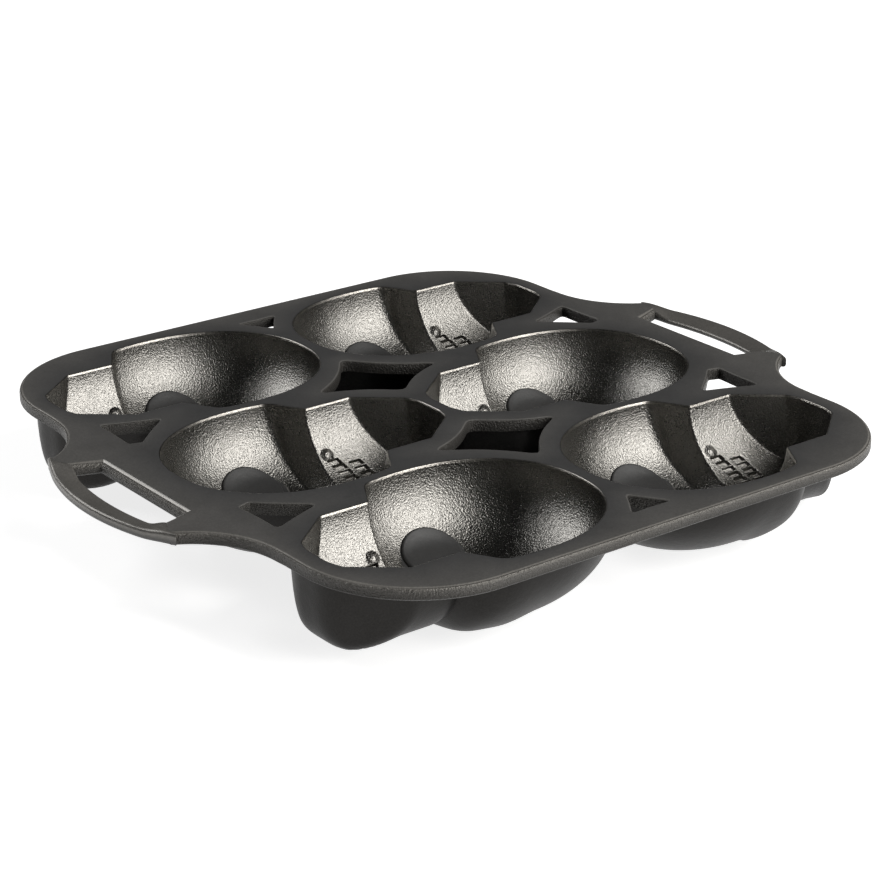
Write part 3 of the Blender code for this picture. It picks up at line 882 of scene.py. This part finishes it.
@dataclass
class Deck:
    """The flat deck with its rounded edge, flares towards the bars, six mouths and eight holes."""

    sizes: PanSizes
    mouths: list[Array]
    flare_radius: float = 0.0396
    flare_start: float = 0.0800
    flare_turn: float = 64.2
    flare_steps: int = 20
    corner_steps: int = 40
    side_from: float = 0.084
    side_steps: int = 3
    back_steps: int = 8
    slot_marks: tuple[float, ...] = (0.0, 0.012, 0.022)
    slot_near: tuple[float, float] = (0.1403, 0.0296)
    slot_far: tuple[float, float] = (0.1500, 0.0330)
    slot_chamfer: float = 0.0026
    slot_drop: float = 0.0023
    rim_round: float = 0.0016
    rim_steps: int = 6
    hole_round: float = 0.0009
    hole_steps: int = 4
    hole_bow: float = 0.08
    triangle_bow: float = 0.02
    hole_side_steps: int = 12
    hole_soften: int = 2
    side_hole: Corners = ((0.0972, 0.0545), (0.1210, 0.0638), (0.1216, 0.0395), (0.1165, 0.0379))
    middle_hole: Corners = ((0.0, 0.0675), (0.0308, 0.0395), (0.0, 0.0210), (-0.0308, 0.0395))
    edge_hole: Corners = ((0.0, 0.1180), (0.0095, 0.1320), (-0.0095, 0.1320))
    hole_wear: float = 0.5
    flat_wear: float = 0.25
    rim_wear: tuple[float, float] = (0.4, 1.0)
    smooth_rings: int = 3
    cut_edge: float = 0.00002
    under_chamfer: float = 0.0007
    slant_from: float = 0.0020
    straight_below: float = 0.02

    def arc(self, centre: tuple[float, float], radius: float, start: float, stop: float, steps: int) -> Array:
        """Points on a circle between two angles in degrees."""
        turn = np.radians(np.linspace(start, stop, steps + 1))
        return np.array(centre) + radius * on_circle(turn)

    def quarter(self) -> tuple[Array, Array, Array]:
        """A quarter of the outline, from the slot's middle to the back edge's middle.

        Returns:
            The points, and for the side after each point the width of its edge and how far it drops.
        """
        s = self.sizes
        centre = (s.half_length + s.cast_gap + self.flare_radius, self.flare_start)
        flare = self.arc(centre, self.flare_radius, 180.0 + self.flare_turn, 180.0, self.flare_steps)
        corner_centre = (s.half_length - s.corner_radius, s.half_width - s.corner_radius)
        corner = self.arc(corner_centre, s.corner_radius, 0.0, 90.0, self.corner_steps)
        slot = np.array([*((self.slot_near[0], mark) for mark in self.slot_marks), self.slot_near])
        side = np.linspace(corner[0] * [1.0, 0.0] + [0.0, self.side_from], corner[0], self.side_steps + 1)[:-1]
        back = np.linspace(corner[-1], corner[-1] * [0.0, 1.0], self.back_steps + 1)[1:]
        points = np.concatenate([slot, [self.slot_far], flare, side, corner, back])
        width = np.full(len(points), self.rim_round)
        drop = np.full(len(points), self.rim_round)
        width[: len(slot)] = self.slot_chamfer
        drop[: len(slot)] = self.slot_drop
        width[len(slot)] = self.cut_edge
        return points, width, drop

    def outline(self) -> tuple[Array, Array, Array]:
        """The whole outline anticlockwise, from four mirrored quarters.

        Returns:
            The points, each side's edge width and each point's drop.
        """
        points, width, drop = self.quarter()
        side_width = width[:-1]
        flip = np.array([-1.0, 1.0])
        half = np.concatenate([points[:-1], (points * flip)[::-1][:-1]])
        half_width = np.concatenate([side_width, side_width[::-1]])
        half_drop = np.concatenate([drop[:-1], drop[::-1][:-1]])
        whole = np.concatenate([half, -half])
        return whole, np.tile(half_width, 2), np.tile(half_drop, 2)

    def inset(self, outline: Array, width: Array) -> Array:
        """Move each corner in to where its two sides' parallels meet.

        The parallels lie the sides' own widths to the left, and the corner solves two equations at once. Where
        the two sides run nearly straight on, it moves along their mean normal instead.

        Args:
            outline: the corners in order, the inside on the left.
            width: how far in each side goes, for the side after each corner.

        Returns:
            The moved corners.
        """
        after = turned_left(unit(np.roll(outline, -1, axis=0) - outline))
        before = np.roll(after, 1, axis=0)
        width_before = np.roll(width, 1)
        cross = before[:, 0] * after[:, 1] - before[:, 1] * after[:, 0]
        straight = np.abs(cross) < self.straight_below
        safe = np.where(straight, 1.0, cross)
        x = (width_before * after[:, 1] - width * before[:, 1]) / safe
        y = (width * before[:, 0] - width_before * after[:, 0]) / safe
        plain = (before + after) / 2.0
        plain *= ((width + width_before) / 2.0 / np.sum(plain * plain, axis=1))[:, None]
        return outline + np.where(straight[:, None], plain, np.stack([x, y], axis=1))

    def edge_rings(self, outline: Array, width: Array, drop: Array, steps: int) -> Array:
        """Rings of the top's edge, outermost first.

        A rim is a quarter circle: it goes in by one less the cosine and up by the sine of the turn. The sides
        of the slot are slanted straight instead.

        Args:
            outline: the loop's points.
            width: the edge's width for the side after each point.
            drop: how far the edge drops at each point.
            steps: rings less one.

        Returns:
            The rings' points.
        """
        rings = []
        for share in np.linspace(0.0, 1.0, steps + 1):
            turn = share * math.pi / 2
            inward = np.where(width > self.slant_from, share, 1.0 - math.cos(turn))
            up = np.where(drop > self.slant_from, share, math.sin(turn))
            flat = self.inset(outline, width * inward)
            z = self.sizes.height - drop * (1.0 - up)
            rings.append(np.concatenate([flat, z[:, None]], axis=1))
        return np.array(rings)

    def bowed(self, corners: Array, bow: float) -> Array:
        """A hole's outline, its sides bowed inwards by a parabola between rounded corners.

        Args:
            corners: the hole's corners in order.
            bow: the parabola's height, as a share of the side.

        Returns:
            The outline's points, clockwise.
        """
        middle = corners.mean(axis=0)
        start, stop = corners, np.roll(corners, -1, axis=0)
        chord = stop - start
        inward = turned_left(chord)
        toward = np.sum(inward * (middle - (start + stop) / 2), axis=1)
        inward *= np.sign(toward)[:, None]
        share = np.linspace(0.0, 1.0, self.hole_side_steps + 1)[:-1]
        bend = 4.0 * share * (1.0 - share) * bow
        line = start[:, None] + share[:, None] * chord[:, None] + bend[:, None] * inward[:, None]
        line = line.reshape(-1, 2)
        for _ in range(self.hole_soften):
            line = softened(line, 0)
        area = np.sum(line[:, 0] * np.roll(line[:, 1], -1) - line[:, 1] * np.roll(line[:, 0], -1))
        return line if area < 0 else line[::-1]

    def holes(self) -> list[Array]:
        """All eight holes: four at the sides, two in the middle and two at the edges.

        Returns:
            The holes' outlines.
        """
        made = []
        for side in (1.0, -1.0):
            for end in (1.0, -1.0):
                made.append(self.bowed(np.array(self.side_hole) * [end, side], self.triangle_bow))
            made.append(self.bowed(np.array(self.middle_hole) * [1.0, side], self.hole_bow))
            made.append(self.bowed(np.array(self.edge_hole) * [1.0, side], self.triangle_bow))
        return made

    def fill(self, loops: list[tuple[Array, Array]], face_up: bool) -> list[tuple[int, ...]]:
        """Triangles between the outer loop and the others, as a constrained triangulation of their points.

        Args:
            loops: each loop's flat points and their numbers in the shell, the outer loop first.
            face_up: whether the triangles face up.

        Returns:
            The triangles by their numbers in the shell.
        """
        flat = np.concatenate([points for points, _ in loops])
        number = np.concatenate([numbers for _, numbers in loops])
        edges, offset = [], 0
        for points, _ in loops:
            here = np.arange(len(points)) + offset
            edges += np.stack([here, np.roll(here, -1)], axis=1).tolist()
            offset += len(points)
        made = delaunay_2d_cdt([Vector(p) for p in flat.tolist()], edges, [], 1, 1e-7)
        triangles = np.array(made[2])
        source = np.array([origin[0] for origin in made[3]])
        triangles = source[triangles]
        corners = flat[triangles]
        middle = corners.mean(axis=1)
        keep = inside_outline(middle, loops[0][0])
        for points, _ in loops[1:]:
            keep &= ~inside_outline(middle, points)
        triangles, corners = triangles[keep], corners[keep]
        a, b = corners[:, 1] - corners[:, 0], corners[:, 2] - corners[:, 0]
        up = a[:, 0] * b[:, 1] - a[:, 1] * b[:, 0] > 0
        turn = up != face_up
        triangles[turn] = triangles[turn][:, ::-1]
        return number[triangles].tolist()

    def shell(self) -> Shell:
        """The closed deck: edge rings of every loop, a flat top and a flat underside.

        Returns:
            The deck in the pan's axes.
        """
        under = self.sizes.height - self.sizes.deck_thickness
        outline, width, drop = self.outline()
        groups = [(self.edge_rings(outline, width, drop, self.rim_steps), 1.0)]
        for hole in self.holes():
            rounding = np.full(len(hole), self.hole_round)
            groups.append((self.edge_rings(hole, rounding, rounding, self.hole_steps), self.hole_wear))
        for mouth in self.mouths:
            groups.append((mouth[None], 0.0))
        points, worn, cast, creases, faces, tops, lows = [], [], [], [], [], [], []
        offset = 0
        for loop, (rings, wear) in enumerate(groups):
            foot = rings[:1].copy()
            foot[..., 2] = under
            if loop == 0:
                lifted = foot.copy()
                lifted[..., 2] = under + self.under_chamfer
                foot[0, :, :2] = self.inset(foot[0, :, :2], np.full(foot.shape[1], self.under_chamfer))
                foot = np.concatenate([foot, lifted])
            rows = np.concatenate([foot, rings])
            count, wide = rows.shape[:2]
            index = numbered(count, wide) + offset
            faces += grid_faces(index).tolist()
            tops.append((rows[-1, :, :2], index[-1]))
            lows.append((rows[0, :, :2], index[0]))
            points.append(rows.reshape(-1, 3))
            level = np.zeros((count, wide))
            level[-len(rings) :] = wear * np.linspace(*self.rim_wear, len(rings))[:, None] ** 2
            level[-1] = self.flat_wear * wear
            worn.append(level.reshape(-1))
            rough = np.zeros((count, wide))
            rough[: -self.smooth_rings] = 1.0
            cast.append(rough.reshape(-1))
            crease = np.full((count, wide), -1)
            crease[-1] = loop
            creases.append(crease.reshape(-1))
            offset += count * wide
        faces += self.fill(tops, True)
        faces += self.fill(lows, False)
        marks = (np.concatenate(worn), np.concatenate(cast))
        return Shell(np.concatenate(points), faces, *marks, crease_angle=34.0, creases=np.concatenate(creases))

    def build(self, finish: bpy.types.Material) -> bpy.types.Object:
        """Build the deck in its finish."""
        return self.shell().to_object("deck", finish)


# Handles


@dataclass
class HandleBar:
    """One grip bar: a rounded section carried along a shallow arc, its ends sunk in the deck's flares."""

    sizes: PanSizes
    side: int
    corner: tuple[float, float] = (0.1550, 0.0443)
    slot_corner: tuple[float, float] = (0.1497, 0.0352)
    outer_x: float = 0.1644
    inner_x: float = 0.1543
    outer_drop: float = 0.0013
    inner_drop: float = 0.0029
    bottom: float = 0.0055
    end_bottom: float = 0.0048
    rounding: float = 0.0014
    sunk: float = 0.00004
    overrun: float = 1.06
    level_share: float = 0.70
    wear: float = 0.5
    steps: int = 96
    corner_steps: int = 4

    @property
    def name(self) -> str:
        """The CAD node that this bar stands for."""
        return "handle_right" if self.side > 0 else "handle_left"

    def bow(self, end: tuple[float, float], middle: float, share: Array) -> Array:
        """Points on the circle through an end, its mirror and the middle.

        Args:
            end: the arc's end, as x and y.
            middle: its x at the middle.
            share: each point's y as a share of the end's.

        Returns:
            The points as x and y.
        """
        rise = middle - end[0]
        radius = (end[1] ** 2 + rise**2) / (2.0 * rise)
        y = end[1] * share
        x = middle - radius + np.sqrt(np.maximum(radius**2 - y**2, 0.0))
        return np.stack([x, y], axis=-1)

    def shell(self) -> Shell:
        """The closed bar: its section's four corners are rounded by short arcs, and its ends are closed.

        Returns:
            The bar in the pan's axes.
        """
        share = np.linspace(-self.overrun, self.overrun, self.steps + 1)
        outer = self.bow(self.corner, self.outer_x, share)
        inner = self.bow(self.slot_corner, self.inner_x, share)
        level = 1.0 - ease(np.abs(share), self.level_share, 1.0)
        top_out = -self.sunk - (self.outer_drop - self.sunk) * level
        top_in = -self.sunk - (self.inner_drop - self.sunk) * level
        low = -self.end_bottom - (self.bottom - self.end_bottom) * level
        arcs = np.linspace(0.0, math.pi / 2, self.corner_steps + 1)
        span = np.linalg.norm(outer - inner, axis=1)
        r = self.rounding
        near, far = np.full_like(span, r), span - r
        rows = []
        for quarter, centre in enumerate(((far, top_out - r), (near, top_in - r), (near, low + r), (far, low + r))):
            rows.append(np.stack(centre, axis=-1)[:, None] + r * on_circle(arcs + quarter * math.pi / 2))
        section = np.concatenate(rows, axis=1)
        across = ((outer - inner) / span[:, None])[:, None]
        flat = inner[:, None] + across * section[..., :1]
        z = self.sizes.height + section[..., 1:]
        grid = np.concatenate([flat, z], axis=-1) * np.array([self.side, self.side, 1.0])
        count, wide = grid.shape[:2]
        index = numbered(count, wide)
        faces = grid_faces(index)[:, ::-1].tolist()
        faces.append(tuple(index[0].tolist()))
        faces.append(tuple(index[-1][::-1].tolist()))
        worn = np.zeros((count, wide))
        worn[:, : 2 * len(arcs)] = self.wear
        cast = np.zeros(count * wide)
        return Shell(grid.reshape(-1, 3), faces, worn.reshape(-1), cast, crease_angle=40.0)

    def build(self, finish: bpy.types.Material) -> bpy.types.Object:
        """Build the bar in its finish."""
        return self.shell().to_object(self.name + "_bar", finish)


# Finishes


class Slot(Enum):
    """Material slots of the part's record."""

    DECK = "plate_iron"
    CUP = "cup_iron"
    HANDLE = "handle_iron"


class ShaderTools:
    """Shorthand for making and joining nodes in one tree."""

    def __init__(self, tree: bpy.types.NodeTree) -> None:
        """Work on one node tree."""
        self.tree = tree

    def node(self, kind: str, **settings: object) -> bpy.types.Node:
        """Add a node.

        Args:
            kind: the node's type.
            settings: attributes of the node, or values of the inputs with those names.

        Returns:
            The new node.
        """
        made = self.tree.nodes.new(kind)
        for key, value in settings.items():
            if hasattr(made, key):
                setattr(made, key, value)
            else:
                made.inputs[key.replace("_", " ")].default_value = value
        return made

    def link(self, source: bpy.types.NodeSocket, target: bpy.types.NodeSocket) -> None:
        """Join two sockets."""
        self.tree.links.new(source, target)

    def math(self, operation: str, a: object, b: object) -> bpy.types.NodeSocket:
        """Add a math node.

        Args:
            operation: what it does.
            a: its first value, a socket or a number.
            b: its second value, a socket or a number.

        Returns:
            Its output.
        """
        made = self.tree.nodes.new("ShaderNodeMath")
        made.operation = operation
        for number, value in enumerate((a, b)):
            if isinstance(value, bpy.types.NodeSocket):
                self.link(value, made.inputs[number])
            else:
                made.inputs[number].default_value = value
        return made.outputs[0]

    def weighted(self, sockets: tuple[bpy.types.NodeSocket, ...], weights: tuple[float, ...]) -> bpy.types.NodeSocket:
        """Add sockets up, each times its weight.

        Args:
            sockets: what is added up.
            weights: a weight for each.

        Returns:
            The sum's output.
        """
        total, *others = [self.math("MULTIPLY", socket, weight) for socket, weight in zip(sockets, weights)]
        for other in others:
            total = self.math("ADD", total, other)
        return total


@dataclass(frozen=True)
class SandCastGrain:
    """Sand-cast iron's grain, from four noises: pebbles, waves, finer grit and broad seasoning patches."""

    pebble_noise: tuple[float, float, float] = (1450.0, 2.0, 0.5)
    wave_noise: tuple[float, float, float] = (260.0, 2.0, 0.5)
    grit_noise: tuple[float, float, float] = (2600.0, 2.0, 0.6)
    patch_noise: tuple[float, float, float] = (48.0, 4.0, 0.6)
    pebbles_from: tuple[float, float, float] = (0.75, 0.3, 0.15)
    skin_from: tuple[float, float] = (0.35, 0.65)
    shade_from: tuple[float, float] = (1.4, 1.0)
    roughness_from: tuple[float, float] = (1.0, 0.8)

    def build(self) -> bpy.types.NodeTree:
        """Make the node group, whose outputs are weighted sums of the noises.

        A noise has its cells a metre, its detail and its roughness. Shade is one plus Tone times how far pebbles
        and patches are above a half, and Roughness is Gloss times the same with other weights.

        Returns:
            The group, with Tone and Gloss inputs, and Pebbles, Skin, Shade and Roughness outputs.
        """
        group = bpy.data.node_groups.new("sand_cast_grain", "ShaderNodeTree")
        for way, names in (("INPUT", ("Tone", "Gloss")), ("OUTPUT", ("Pebbles", "Skin", "Shade", "Roughness"))):
            for name in names:
                group.interface.new_socket(name, in_out=way, socket_type="NodeSocketFloat")
        t = ShaderTools(group)
        given, result = t.node("NodeGroupInput"), t.node("NodeGroupOutput")
        place = t.node("ShaderNodeTexCoord")
        noises = []
        for fineness, detail, rough in (self.pebble_noise, self.wave_noise, self.grit_noise, self.patch_noise):
            noise = t.node("ShaderNodeTexNoise", Scale=fineness, Detail=detail, Roughness=rough)
            t.link(place.outputs["Object"], noise.inputs["Vector"])
            noises.append(noise.outputs["Fac"])
        pebbles, waves, grit, patches = noises
        t.link(t.weighted((pebbles, waves, grit), self.pebbles_from), result.inputs["Pebbles"])
        t.link(t.weighted((grit, waves), self.skin_from), result.inputs["Skin"])
        above = t.math("SUBTRACT", pebbles, 0.5), t.math("SUBTRACT", patches, 0.5)
        shade = t.math("MULTIPLY", t.weighted(above, self.shade_from), given.outputs["Tone"])
        t.link(t.math("ADD", 1.0, shade), result.inputs["Shade"])
        rough = t.math("MULTIPLY", t.weighted(above, self.roughness_from), given.outputs["Gloss"])
        t.link(rough, result.inputs["Roughness"])
        return group


@dataclass(frozen=True)
class Skin:
    """How one side of the casting looks: its colour, its roughness and how high its grain stands."""

    colour: tuple[float, float, float]
    roughness: float
    relief: float


@dataclass(frozen=True)
class IronFinish:
    """One finish of seasoned cast iron: a smooth skin, a pebbled one, and worn edges."""

    name: str
    smooth: Skin
    pebbled: Skin
    edge: Skin
    tone: float = 0.3
    gloss: float = 0.15
    metallic: float = 0.8
    specular: float = 0.4

    def blend(self, t: ShaderTools, share: bpy.types.NodeSocket, low: object, high: object) -> bpy.types.NodeSocket:
        """Low plus the share times what high has over it.

        Args:
            t: the material's node tools.
            share: how much of high there is.
            low: a number or a socket.
            high: a number.

        Returns:
            The blended value.
        """
        if isinstance(low, bpy.types.NodeSocket):
            return t.math("ADD", low, t.math("MULTIPLY", share, t.math("SUBTRACT", high, low)))
        return t.math("ADD", low, t.math("MULTIPLY", share, high - low))

    def tint(self, t: ShaderTools, share: bpy.types.NodeSocket, low: object, high: Skin) -> bpy.types.NodeSocket:
        """Mix one colour with a skin's.

        Args:
            t: the material's node tools.
            share: how much of the skin's colour there is.
            low: the other skin, or a colour's socket.
            high: the skin.

        Returns:
            The mixed colour.
        """
        made = t.node("ShaderNodeMix", data_type="RGBA")
        t.link(share, made.inputs[0])
        if isinstance(low, Skin):
            made.inputs[6].default_value = (*low.colour, 1.0)
        else:
            t.link(low, made.inputs[6])
        made.inputs[7].default_value = (*high.colour, 1.0)
        return made.outputs[2]

    def build(self, grain: bpy.types.NodeTree) -> bpy.types.Material:
        """Make the material.

        The pebbled attribute blends the smooth skin into the pebbled one, and the worn attribute, broken up by
        the grain, blends in the worn edge. The grain shades the colour and the roughness.

        Args:
            grain: the shared node group.

        Returns:
            The material.
        """
        material = bpy.data.materials.new(self.name)
        material.use_nodes = True
        t = ShaderTools(material.node_tree)
        shader = material.node_tree.nodes["Principled BSDF"]
        shader.inputs["Metallic"].default_value = self.metallic
        shader.inputs["Specular IOR Level"].default_value = self.specular
        cast = t.node("ShaderNodeGroup", node_tree=grain)
        cast.inputs["Tone"].default_value = self.tone
        cast.inputs["Gloss"].default_value = self.gloss
        mould = t.node("ShaderNodeAttribute", attribute_name="pebbled").outputs["Fac"]
        wear = t.node("ShaderNodeAttribute", attribute_name="worn").outputs["Fac"]
        patchy = t.math("MULTIPLY", wear, cast.outputs["Shade"])
        colour = self.tint(t, patchy, self.tint(t, mould, self.smooth, self.pebbled), self.edge)
        shaded = t.node("ShaderNodeVectorMath", operation="SCALE")
        t.link(colour, shaded.inputs[0])
        t.link(cast.outputs["Shade"], shaded.inputs["Scale"])
        t.link(shaded.outputs[0], shader.inputs["Base Color"])
        rough = self.blend(t, mould, self.smooth.roughness, self.pebbled.roughness)
        rough = self.blend(t, wear, rough, self.edge.roughness)
        t.link(t.math("ADD", rough, cast.outputs["Roughness"]), shader.inputs["Roughness"])
        fine = t.math("MULTIPLY", cast.outputs["Skin"], self.smooth.relief / self.pebbled.relief)
        rise = t.math("MULTIPLY", mould, t.math("SUBTRACT", cast.outputs["Pebbles"], fine))
        bump = t.node("ShaderNodeBump", Strength=1.0, Distance=self.pebbled.relief)
        t.link(t.math("ADD", fine, rise), bump.inputs["Height"])
        t.link(bump.outputs[0], shader.inputs["Normal"])
        return material


DECK_SKIN = Skin((0.086, 0.086, 0.086), 0.50, 0.00012)
WALL_SKIN = Skin((0.026, 0.025, 0.024), 0.47, 0.00016)
BAR_SKIN = Skin((0.082, 0.080, 0.078), 0.42, 0.00020)
MOULD_SKIN = Skin((0.245, 0.238, 0.224), 0.30, 0.00036)
RIM_SKIN = Skin((0.038, 0.036, 0.033), 0.46, 0.00080)
WORN_EDGE = Skin((0.340, 0.325, 0.300), 0.32, 0.00012)

DECK_FINISH = IronFinish("smooth_deck", DECK_SKIN, RIM_SKIN, WORN_EDGE, metallic=0.35)
CUP_FINISH = IronFinish("pebbled_cup", WALL_SKIN, MOULD_SKIN, WORN_EDGE, tone=0.5, metallic=1.0)
BOSS_FINISH = IronFinish("smooth_boss", DECK_SKIN, MOULD_SKIN, DECK_SKIN, metallic=0.6)
BAR_FINISH = IronFinish("satin_bar", BAR_SKIN, RIM_SKIN, WORN_EDGE, metallic=0.5)


# Studio


@dataclass(frozen=True)
class SoftLight:
    """A rectangular studio light that faces the pan."""

    name: str
    place: tuple[float, float, float]
    width: float
    height: float
    power: float
    warmth: tuple[float, float, float] = (1.0, 1.0, 1.0)
    roll: float = 0.0

    def build(self) -> None:
        """Add the light."""
        data = bpy.data.lights.new(self.name, "AREA")
        data.shape = "RECTANGLE"
        data.size = self.width
        data.size_y = self.height
        data.energy = self.power
        data.color = self.warmth
        lamp = add_object(self.name, data)
        lamp.location = self.place
        aim = (-Vector(self.place)).to_track_quat("-Z", "Y")
        turn = Quaternion((0.0, 0.0, 1.0), math.radians(self.roll))
        lamp.rotation_euler = (aim @ turn).to_euler()


@dataclass(frozen=True)
class Studio:
    """The pale floor, the world, the lights and the camera."""

    camera_place: tuple[float, float, float] = (-0.58702, -0.76947, 0.41339)
    camera_turn: tuple[float, float, float] = (67.8786, -0.0424, -37.5986)
    lens: float = 102.180
    sensor: float = 36.0
    near_clip: float = 0.01
    surround: float = 0.015
    floor_radius: float = 40.0
    floor_rings: int = 8
    floor_sides: int = 48
    floor_gap: float = 0.0002
    floor_colour: tuple[float, float, float] = (0.70, 0.70, 0.70)
    floor_roughness: float = 0.9
    floor_specular: float = 0.1
    floor_glow: float = 0.80
    # Box under the pan's middle where the floor's glow is cut: a painted shadow.
    shade_middle: tuple[float, float] = (0.030, 0.025)
    shade_half: tuple[float, float] = (0.065, 0.085)
    shade_fade: float = 0.020
    lights: tuple[SoftLight, ...] = (
        SoftLight("key_softbox", (0.76, -1.33, 0.94), 0.85, 1.9, 38.0, (1.0, 0.985, 0.96), -17.0),
        SoftLight("back_softbox", (-0.65, 1.33, 1.01), 1.0, 0.7, 12.0),
    )

    def camera(self) -> None:
        """Set the camera where the photograph was taken from."""
        data = bpy.data.cameras.new("photo_camera")
        data.sensor_width = self.sensor
        data.lens = self.lens
        data.clip_start = self.near_clip
        camera = add_object("photo_camera", data)
        camera.location = self.camera_place
        camera.rotation_euler = [math.radians(turn) for turn in self.camera_turn]
        bpy.context.scene.camera = camera

    def world(self) -> None:
        """A plain, dim grey all round, the same for every ray."""
        world = bpy.data.worlds.new("studio")
        bpy.context.scene.world = world
        world.use_nodes = True
        back = world.node_tree.nodes["Background"]
        back.inputs["Color"].default_value = (1.0, 1.0, 1.0, 1.0)
        back.inputs["Strength"].default_value = self.surround

    def floor(self) -> None:
        """A pale floor disc under the pan that keeps the pan's shadow.

        Its glow for what the eye and the iron see stops under the middle of the pan, where it would be dark, so that
        patch of floor is a painted shadow.
        """
        rings = np.linspace(0.0, 1.0, self.floor_rings + 1)[1:] ** 2 * self.floor_radius
        grid = rings[:, None, None] * on_circle(full_turn(self.floor_sides))
        flat = np.concatenate([grid, np.full((*grid.shape[:2], 1), -self.floor_gap)], axis=-1)
        index = numbered(*grid.shape[:2])
        faces = grid_faces(index[::-1]).tolist() + [tuple(index[0].tolist())]
        mesh = bpy.data.meshes.new("floor")
        mesh.from_pydata(flat.reshape(-1, 3).tolist(), [], faces)
        material = bpy.data.materials.new("pale_floor")
        material.use_nodes = True
        t = ShaderTools(material.node_tree)
        shader = material.node_tree.nodes["Principled BSDF"]
        shader.inputs["Base Color"].default_value = (*self.floor_colour, 1.0)
        shader.inputs["Roughness"].default_value = self.floor_roughness
        shader.inputs["Specular IOR Level"].default_value = self.floor_specular
        shader.inputs["Emission Color"].default_value = (1.0, 1.0, 1.0, 1.0)
        path = t.node("ShaderNodeLightPath")
        seen = t.math("MAXIMUM", path.outputs["Is Camera Ray"], path.outputs["Is Glossy Ray"])
        seen = t.math("MAXIMUM", seen, path.outputs["Is Transmission Ray"])
        place = t.node("ShaderNodeSeparateXYZ")
        t.link(t.node("ShaderNodeTexCoord").outputs["Object"], place.inputs[0])
        # The glow fades out over a soft-edged box under the pan's middle, which paints a shadow on the floor there.
        off_x = t.math("SUBTRACT", place.outputs["X"], self.shade_middle[0])
        off_y = t.math("SUBTRACT", place.outputs["Y"], self.shade_middle[1])
        out_x = t.math("SUBTRACT", t.math("ABSOLUTE", off_x, 0.0), self.shade_half[0])
        out_y = t.math("SUBTRACT", t.math("ABSOLUTE", off_y, 0.0), self.shade_half[1])
        clear = t.node("ShaderNodeMapRange", interpolation_type="SMOOTHSTEP")
        clear.inputs["From Max"].default_value = self.shade_fade
        t.link(t.math("MAXIMUM", out_x, out_y), clear.inputs["Value"])
        glow = t.math("MULTIPLY", t.math("MULTIPLY", seen, clear.outputs[0]), self.floor_glow)
        t.link(glow, shader.inputs["Emission Strength"])
        mesh.materials.append(material)
        add_object("floor", mesh)

    def build(self) -> None:
        """Set up everything around the pan."""
        bpy.context.scene.view_settings.view_transform = "Standard"
        self.camera()
        self.world()
        self.floor()
        for light in self.lights:
            light.build()


# Main


def adopt(pieces: list[bpy.types.Object], node: str) -> None:
    """Fix pieces to the pan and hide the CAD node that they stand in for.

    Args:
        pieces: the new pieces.
        node: the CAD node's name.
    """
    for piece in pieces:
        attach(piece, "root")
        LOG.info("%s: %d faces", piece.name, len(piece.data.polygons))
    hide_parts(node)


def main() -> None:
    """Build the pan piece by piece, then the studio."""
    logging.basicConfig(level=logging.INFO, format="%(message)s")
    sizes = PanSizes()
    hollow = SkullHollow(sizes)
    grain = SandCastGrain().build()
    finishes = (DECK_FINISH, CUP_FINISH, BOSS_FINISH, BAR_FINISH)
    deck_iron, cup_iron, boss_iron, bar_iron = (finish.build(grain) for finish in finishes)
    cups = [SkullCup(sizes, hollow, seat) for seat in Seat]
    deck = Deck(sizes, [cup.mouth_ring() for cup in cups])
    adopt([deck.build(deck_iron)], "plate")
    for cup in cups:
        adopt(cup.build(cup_iron, boss_iron), cup.name)
    for side in (1, -1):
        bar = HandleBar(sizes, side)
        adopt([bar.build(bar_iron)], bar.name)
    Studio().build()


if __name__ == "__main__":
    main()
